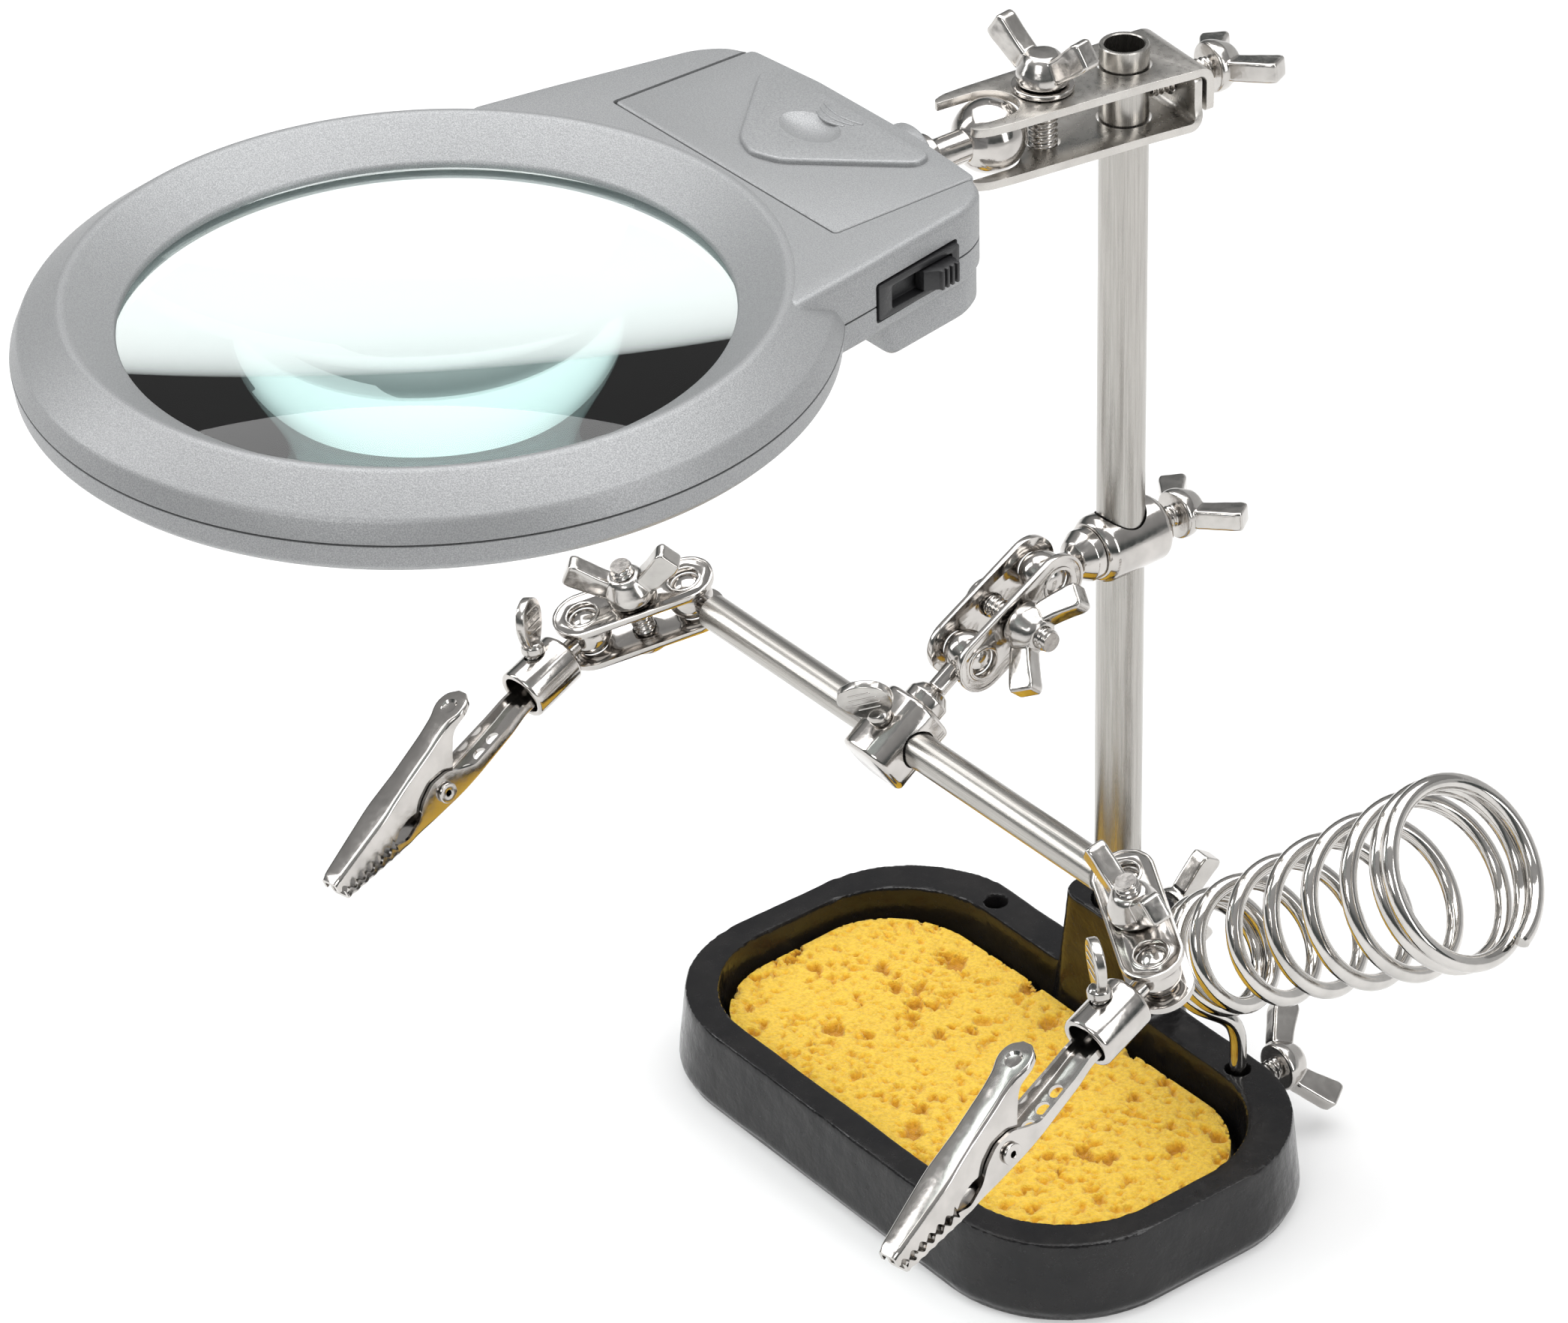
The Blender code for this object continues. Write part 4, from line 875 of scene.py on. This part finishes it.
def build_switch():
    """A black panel in the housing's side with a ribbed slider."""
    place = (MAGNIFIER @ Matrix.Translation(SWITCH_AT) @ Matrix.Rotation(SWITCH_TAPER, 4, "Z")
             @ Matrix.Rotation(pi, 4, "Z") @ Matrix.Rotation(pi / 2, 4, "X"))
    panel = cut(prism(rounded_rectangle(-8.8, 8.8, -2.9, 2.9, 0.5, 5), -2.2, 0.5),
                prism(rounded_rectangle(-6.0, 7.2, -1.9, 1.9, 0.4, 5), -1.2, 3.0))
    piece(bevelled(panel, 0.14, 2), place, BLACK, "magnifier", "switch_panel")
    ridges = [(0.5, -0.9), (6.8, -0.9), (6.8, 1.4)]
    for i in range(4):
        x = 6.2 - 1.1 * i
        ridges += [(x, 2.9), (x - 0.5, 2.9), (x - 0.6, 2.3)]
    slider = bevelled(side_prism(ridges + [(0.5, 0.9)], 1.6), 0.1, 2)
    piece(slider, place, BLACK, "switch", "switch_slider")


def ball_profile(radius, neck, neck_end, steps=20):
    """Half profile of a ball at the origin with a neck that runs toward -Z."""
    start = asin(neck / radius)
    points = [(0, -neck_end), (neck, -neck_end)]
    for i in range(steps):
        angle = start + (pi - start) * i / steps
        points.append((radius * sin(angle), -radius * cos(angle)))
    return points + [(0, radius)]


def build_ball_stud():
    body = soft_profile([(0, -22.0), (2.6, -22.0), (2.6, -14.6), (4.3, -14.5), (4.3, -12.2), (2.7, -12.0),
                         (2.7, -5.35)], 0.25)
    ball = ball_profile(6.0, 2.7, 5.4)
    stud = lathe(body + ball[3:], 64, "X")
    piece(moved(stud, (0, 0, 0), "Z", pi), MAGNIFIER, NICKEL, "magnifier", "magnifier_ball_stud")


# ---- ball links

def link_plate(low):
    """A drilled plate with a raised rim and raised collars round its holes."""
    high = low + LINK_PLATE
    middle = LINK_LENGTH / 2

    def outline(inset):
        r = LINK_HALF - inset
        return arc(0, 0, r, 90, 270, 24) + arc(LINK_LENGTH, 0, r, -90, 90, 24)

    spots = ((0.0, 2.5, 3.1), (middle, 2.1, 3.0), (LINK_LENGTH, 2.5, 3.1))  # x, hole, collar
    pocket = prism(outline(0.6), high - 0.26, high + 1.0)
    pocket = cut(pocket, *[moved(rod(r, low - 1, high + 2, 48), (x, 0, 0)) for x, _, r in spots])
    holes = [moved(rod(r, low - 1, high + 1, 48), (x, 0, 0)) for x, r, _ in spots]
    return bevelled(cut(prism(outline(0.0), low, high), pocket, *holes), 0.16, 2)


def build_link(prefix, body, nut_body, place, nut_turn):
    outside = LINK_INSIDE + LINK_PLATE
    middle = (LINK_LENGTH / 2, 0, 0)
    piece(link_plate(LINK_INSIDE), place, NICKEL, body, prefix + "front_plate")
    rear = moved(link_plate(LINK_INSIDE), (LINK_LENGTH, 0, 0), "Y", pi)
    piece(rear, place, NICKEL, body, prefix + "rear_plate")
    head = -outside - 0.15
    profile = [(0, head - 2.5), (3.0, head - 2.4), (4.1, head - 1.2), (4.1, head), (1.9, head),
               (1.9, -LINK_INSIDE), (0, -LINK_INSIDE)]
    cap = lathe(soft_profile(profile, 0.35), 48)
    shaft = thread(SCREW_RADIUS, SCREW_PITCH, -LINK_INSIDE - 0.5, 11.7)
    bolt = moved(joined(cap, shaft), middle)
    piece(bolt, place, NICKEL, body, prefix + "bolt")
    nut = moved(WING_NUT.copy(), (middle[0], 0, outside + 0.2), "Z", nut_turn)
    piece(nut, place, CAST_NICKEL, nut_body, prefix + "wing_nut")


def leaf_screw(node, body, place, at, lean, turn, length, widen=1.0):
    """A small thumb screw whose flat leaf carries shallow grip ribs."""
    side = [(1.5, 0.4), (3.4, 3.2), (3.9, 6.0), (2.9, 8.6), (0.0, 9.8)]
    side = [(x * widen, z) for x, z in side]
    outline = rounded_corners([(-x, z) for x, z in side[:-1]] + side[::-1], 1.6)
    leaf = bevelled(side_prism(outline, 0.8), 0.3, 3, 50.0)
    ribs = []
    for index in range(4):
        z = 3.6 + 1.35 * index
        half = 1.9 if index in (0, 3) else 2.4
        for sign in (-1, 1):
            line = [Vector((x, sign * 0.72, z)) for x in np.linspace(-half, half, 6)]
            ribs.append(sweep(line, 0.2, 8))
    collar = lathe(soft_profile([(0, -0.3), (2.0, -0.3), (2.0, 0.9), (1.5, 1.6), (0, 1.6)], 0.25), 32)
    mesh = joined(leaf, collar, thread(1.4, 0.6, -length, 0.4), *ribs)
    mesh.transform(Matrix.Translation(Vector(at)) @ Matrix.Rotation(lean, 4, "Y")
                   @ Matrix.Rotation(turn, 4, "Z"))
    piece(mesh, place, CAST_NICKEL, body, node)


def build_post_collar():
    place = basis((POST.x, POST.y, pivot("centre_link_swing").z), (0, -1, 0), (0, 0, 1))
    profile = [(0, -7.6), (4.6, -7.6), (5.8, -6.2), (5.8, 5.0), (4.9, 6.4), (0, 6.4)]
    body = lathe(soft_profile(profile, 0.5), 72, "X")
    body = cut(body, rod(4.3, -9, 9, 64))
    piece(body, place, NICKEL, "post_collar", "post_collar")
    stud_end = POST.y - pivot("centre_link_swing").y
    neck = soft_profile([(0, -11.9), (1.8, -11.9), (1.8, -10.2), (4.5, -10.2), (4.5, -8.4), (3.2, -6.4),
                         (1.8, -5.6), (1.8, -3.5)], 0.25)
    stud = lathe(neck[:-1] + ball_profile(LINK_BALL, 1.8, 5.0)[2:], 56, "X")
    piece(moved(stud, (stud_end, 0, 0)), place, NICKEL, "post_collar", "collar_ball_stud")


def build_centre_arm():
    near, far = pivot("centre_link_swing"), pivot("bar_collar_tilt")
    place = basis(near, far - near, (1, 0, 0))
    build_link("centre_link_", "centre_link", "centre_nut", place, radians(20))
    up = far - BAR
    reach = up.length
    place = basis(BAR, (1, 0, 0), Vector((1, 0, 0)).cross(up))
    block = prism(rounded_rectangle(-5.6, 5.6, -5.6, 5.6, 4.3, 14), -6.6, 5.9)
    block.transform(Matrix.Rotation(-pi / 2, 4, "X"))
    block = cut(bevelled(block, 0.9, 5, 50.0), rod(3.3, -9, 9, 64, "X"), rod(1.5, 0, 12, 24))
    piece(block, place, NICKEL, "bar_collar", "bar_collar")
    neck = soft_profile([(0, 4.4 - reach), (1.7, 4.4 - reach), (1.7, 6.1 - reach), (3.7, 6.1 - reach),
                         (3.7, 8.0 - reach), (2.6, 9.4 - reach), (1.7, 9.9 - reach), (1.7, -3.5)], 0.25)
    stud = lathe(neck[:-1] + ball_profile(LINK_BALL, 1.7, 5.0)[2:], 56, "Y")
    piece(moved(stud, (0, reach, 0)), place, NICKEL, "bar_collar", "bar_collar_ball_stud")
    leaf_screw("bar_thumb_screw", "bar_screw", place, (0, 0, 6.4), 0.0, radians(42), 2.9, 1.22)


def build_crossbar():
    place = basis(BAR, (1, 0, 0), (0, 0, 1))
    left, right = pivot("left_link_swing").x, pivot("right_link_swing").x
    piece(tube(3.0, 2.3, left + 6.2, right - 6.2, "X"), place, BAR_STEEL, "crossbar", "crossbar_tube")
    for node, at, turn in (("left_bar_ball_stud", left, pi), ("right_bar_ball_stud", right, 0.0)):
        neck = soft_profile([(0, -11.0), (1.9, -11.0), (2.25, -6.6), (2.25, -6.0), (1.7, -5.2),
                             (1.7, -3.5)], 0.2)
        stud = lathe(neck[:-1] + ball_profile(LINK_BALL, 1.7, 12.0)[2:], 56, "X")
        piece(moved(stud, (at, 0, 0), "Z", turn), place, NICKEL, "crossbar", node)


# ---- sockets and clips

def build_socket(prefix, leaf_turn):
    near = pivot(prefix + "socket_swing")
    out = direction(prefix + "clip_roll")
    normal = direction(prefix + "link_swing")
    place = basis(near, out, Matrix.Rotation(SOCKET_ROLL, 3, out) @ normal)
    profile = [(1.9, 6.2), (3.9, 6.2), (4.6, 6.9), (4.6, 16.5), (4.3, 16.9), (3.7, 16.9), (3.5, 16.6),
               (3.5, 8.0), (1.9, 8.0)]
    cup = lathe(rounded_corners(profile, 0.3, 3), 72, "X")
    hole = rod(1.75, 0, 9, 32)
    hole.transform(Matrix.Rotation(-THUMB_LEAN, 4, "Y"))
    piece(cut(cup, moved(hole, (12.8, 0, 0))), place, NICKEL, prefix + "socket", prefix + "socket")
    stud = lathe(ball_profile(LINK_BALL, 1.6, 8.6), 56, "X")
    piece(moved(stud, (0, 0, 0), "Z", pi), place, NICKEL, prefix + "socket",
          prefix + "socket_ball_stud")
    lean = Matrix.Rotation(-THUMB_LEAN, 3, "Y") @ Vector((0, 0, 1))
    leaf_screw(prefix + "thumb_screw", prefix + "screw", place, Vector((12.8, 0, 0)) + lean * 5.5,
               -THUMB_LEAN, leaf_turn, 2.1)


def clip_channel(stations, open_side, bite):
    """A folded sheet jaw with rounded corners, and teeth along the bite.

    A station is (x, low, high, half width), and the jaw flows smoothly from one to the next.
    """
    knots = np.array(stations)
    first, last = knots[0, 0], knots[-1, 0]
    xs = np.concatenate((np.arange(first, last, 0.35), np.arange(bite[0], bite[1], 0.16), [last]))
    xs = np.unique(xs)
    spread = np.linspace(-0.7, 0.7, 9)
    low, high, half = [np.mean([np.interp(xs + s, knots[:, 0], knots[:, column]) for s in spread], axis=0)
                       for column in (1, 2, 3)]
    tooth_pitch = 1.92
    phase = ((xs - bite[0]) / tooth_pitch) % 1.0
    tooth = (0.5 + 0.5 * np.cos(2 * np.pi * phase)) ** 0.8 * 0.85
    tooth[(xs < bite[0]) | (xs > bite[1])] = 0.0
    bm = bmesh.new()
    rings = []
    for x, lo, hi, wide, nick in zip(xs, low, high, half, tooth):
        web, edge = (lo, hi) if open_side > 0 else (hi, lo)
        edge -= nick * open_side
        tall = abs(edge - web)
        corner = min(0.75, tall * 0.45, wide * 0.6)
        ring = []
        for shell in (0.0, SHEET):
            r = max(corner - shell * 0.8, 0.08)
            w = max(wide - shell, 0.12)
            z = web + shell * open_side
            line = [(-w, edge)]
            for k in range(6):
                a = pi / 2 * k / 5
                line.append((-w + r - r * cos(a), z + (r - r * sin(a)) * open_side))
            for k in range(6):
                a = pi / 2 * (1 - k / 5)
                line.append((w - r + r * cos(a), z + (r - r * sin(a)) * open_side))
            line.append((w, edge))
            ring += line if shell == 0.0 else line[::-1]
        rings.append([bm.verts.new((x, y, z)) for y, z in ring])
    for start, end in zip(rings, rings[1:]):
        bridge(bm, start, end)
    count = len(rings[0])
    for ring in (rings[0], rings[-1]):
        for k in range(count // 2 - 1):
            bm.faces.new((ring[k], ring[k + 1], ring[count - 2 - k], ring[count - 1 - k]))
    return mesh_from(bm)


def build_clip(prefix):
    out = direction(prefix + "clip_roll")
    normal = direction(prefix + "link_swing")
    place = basis(pivot(prefix + "jaw_open"), out, Matrix.Rotation(CLIP_ROLL, 3, out) @ normal)
    lower = [(-28.6, -0.6, 1.4, 2.8), (-19.8, -0.6, 1.4, 2.8), (-16.0, -1.4, 0.8, 3.0),
             (-7.0, -2.6, 0.0, 3.2), (-4.0, -2.9, 1.6, 3.2), (-2.0, -3.0, 3.0, 3.2), (1.6, -3.0, 3.2, 3.2),
             (4.6, -3.0, 1.6, 3.2), (6.6, -3.0, -0.6, 3.1), (10.0, -3.1, -2.0, 3.0),
             (12.4, -3.2, -1.1, 2.9), (24.0, -3.2, -1.4, 2.1)]
    upper = [(-12.6, 9.9, 10.6, 0.5), (-12.2, 9.8, 10.6, 1.9), (-11.2, 9.6, 10.6, 2.85),
             (-9.4, 9.2, 10.4, 3.35), (-7.8, 8.7, 10.1, 3.1), (-6.4, 7.6, 9.8, 2.5),
             (-3.8, 2.8, 9.0, 2.35), (-2.0, -1.2, 8.4, 2.4), (1.8, -1.2, 7.4, 2.4),
             (4.4, 0.4, 6.7, 2.4), (8.0, 1.0, 5.8, 2.6), (10.6, 0.6, 5.1, 2.8),
             (12.4, -0.75, 4.6, 2.8), (24.0, -1.05, 1.4, 2.1), (25.0, -0.8, 0.8, 1.8)]
    hole = rod(1.15, -6, 6, 24, "Y")
    holes = [moved(rod(1.2, -8, 0.0, 24), (x, 0, 0)) for x in (-6.6, -10.2, -13.6)]
    fixed = cut(clip_channel(lower, 1, (12.4, 23.9)), hole.copy(), *holes)
    piece(fixed, place, NICKEL, prefix + "clip", prefix + "clip_fixed_jaw")
    moving = clip_channel(upper, -1, (12.4, 24.2))
    dimple = lathe([(0, -0.55), (1.3, -0.4), (2.0, 0.3), (2.0, 2.0), (0, 2.0)], 32)
    moving = cut(moving, hole, moved(dimple, (-9.0, 0, 10.5)))
    piece(moving, place, NICKEL, prefix + "jaw", prefix + "clip_moving_jaw")
    rivet = [(0.55, -3.9), (1.7, -3.9), (1.85, -3.6), (1.7, -3.3), (0.95, -3.3), (0.95, 3.3),
             (1.7, 3.3), (1.85, 3.6), (1.7, 3.9), (0.55, 3.9)]
    piece(lathe(rounded_corners(rivet, 0.15, 3), 40, "Y"), place, NICKEL, prefix + "clip",
          prefix + "clip_rivet")
    turns = [Vector((1.45 * cos(a), -1.45 + 0.33 * a / pi, 1.45 * sin(a)))
             for a in np.linspace(0, 8 * pi, 120)]
    piece(sweep(turns, 0.28, 10), place, SATIN_NICKEL, prefix + "clip", prefix + "clip_spring")


def build_side(prefix, nut_turn, leaf_turn):
    near, far = pivot(prefix + "link_swing"), pivot(prefix + "socket_swing")
    place = basis(near, far - near, direction(prefix + "link_swing"))
    build_link(prefix + "link_", prefix + "link", prefix + "nut", place, nut_turn)
    build_socket(prefix, leaf_turn)
    build_clip(prefix)


# ---- floor, light and camera

def stage_floor():
    """A pale sheet that curves up far behind the object."""
    bm = bmesh.new()
    rows = []
    for i in range(41):
        y = -2.0 + 5.0 * i / 40
        lift = max(y - 1.6, 0.0) ** 2 * 0.8
        rows.append([bm.verts.new((x, y, lift)) for x in np.linspace(-3.0, 3.0, 25)])
    for first, second in zip(rows, rows[1:]):
        for k in range(24):
            bm.faces.new((first[k], first[k + 1], second[k + 1], second[k]))
    mesh = mesh_from(bm, "floor")
    material, tree, shader = new_material("paper", (0.6, 0.6, 0.6), 0.75, 0.0)
    tint = add_ramp(tree, add_noise(tree, 40.0, 3.0), [(0.3, (0.595,) * 3), (0.7, (0.605,) * 3)])
    tree.links.new(tint, shader.inputs["Base Color"])
    set_inputs(shader, Emission_Color=(1.0, 1.0, 1.0, 1.0), Emission_Strength=0.34)
    mesh.materials.append(material)
    mesh.shade_smooth()
    add_object("floor", mesh)


def add_light(name, at, aim, size, power):
    data = bpy.data.lights.new(name, "AREA")
    data.shape = "RECTANGLE"
    data.size, data.size_y = size
    data.energy = power
    item = add_object(name, data)
    item.location = at
    item.rotation_euler = (Vector(at) - Vector(aim)).to_track_quat("Z", "Y").to_euler()


def add_world():
    world = bpy.data.worlds.new("studio")
    bpy.context.scene.world = world
    world.use_nodes = True
    tree = world.node_tree
    coords = tree.nodes.new("ShaderNodeTexCoord")
    split = tree.nodes.new("ShaderNodeSeparateXYZ")
    tree.links.new(coords.outputs["Generated"], split.inputs["Vector"])
    ramp = add_ramp(tree, split.outputs["Z"], [(0.0, (0.6, 0.6, 0.6)), (0.03, (0.075, 0.085, 0.085)),
                                               (0.25, (0.11, 0.12, 0.12)), (0.45, (0.33, 0.33, 0.33)),
                                               (1.0, (0.5, 0.5, 0.5))])
    tree.links.new(ramp, tree.nodes["Background"].inputs["Color"])
    set_inputs(tree.nodes["Background"], Strength=1.0)


def add_camera():
    """Seen from the front right and above, with a slight roll."""
    azimuth, elevation, roll = radians(52.79), radians(32.76), radians(-1.51)
    aim, distance = Vector((-61.41, 6.29, 60.0)), 1079.6
    back = Vector((sin(azimuth) * cos(elevation), -cos(azimuth) * cos(elevation),
                   sin(elevation)))
    right = Vector((cos(azimuth), sin(azimuth), 0))
    up = back.cross(right)
    level = right * cos(roll) + up * sin(roll)
    tall = up * cos(roll) - right * sin(roll)
    place = Matrix((level, tall, back)).transposed().to_4x4()
    place.translation = (aim + back * distance) * MM
    data = bpy.data.cameras.new("camera")
    data.lens = 143.8
    data.sensor_width = 36.0
    data.clip_start = 0.01
    item = add_object("camera", data)
    item.matrix_world = place
    bpy.context.scene.camera = item


def main():
    build_base()
    build_sponge()
    build_screws()
    build_post()
    build_coil()
    build_clamp()
    build_housing()
    build_lens()
    build_cover()
    build_cells()
    build_switch()
    build_ball_stud()
    build_post_collar()
    build_centre_arm()
    build_crossbar()
    build_side("left_", radians(-17.5), radians(27))
    build_side("right_", radians(-160), radians(60))
    stage_floor()
    add_light("overhead", (-0.1, 0.1, 1.1), (0, 0, 0.08), (1.5, 1.1), 15.0)
    add_light("front_left", (-0.9, -0.8, 0.75), (0, 0, 0.1), (0.35, 0.9), 5.0)
    add_light("right_side", (1.1, 0.25, 0.6), (0, 0, 0.1), (0.3, 0.9), 4.0)
    add_light("front_right", (0.5, -1.1, 0.9), (0, 0, 0.1), (0.6, 0.4), 4.0)
    add_world()
    add_camera()
    bpy.context.scene.view_settings.view_transform = "Standard"


main()
bpy.context.view_layer.update()
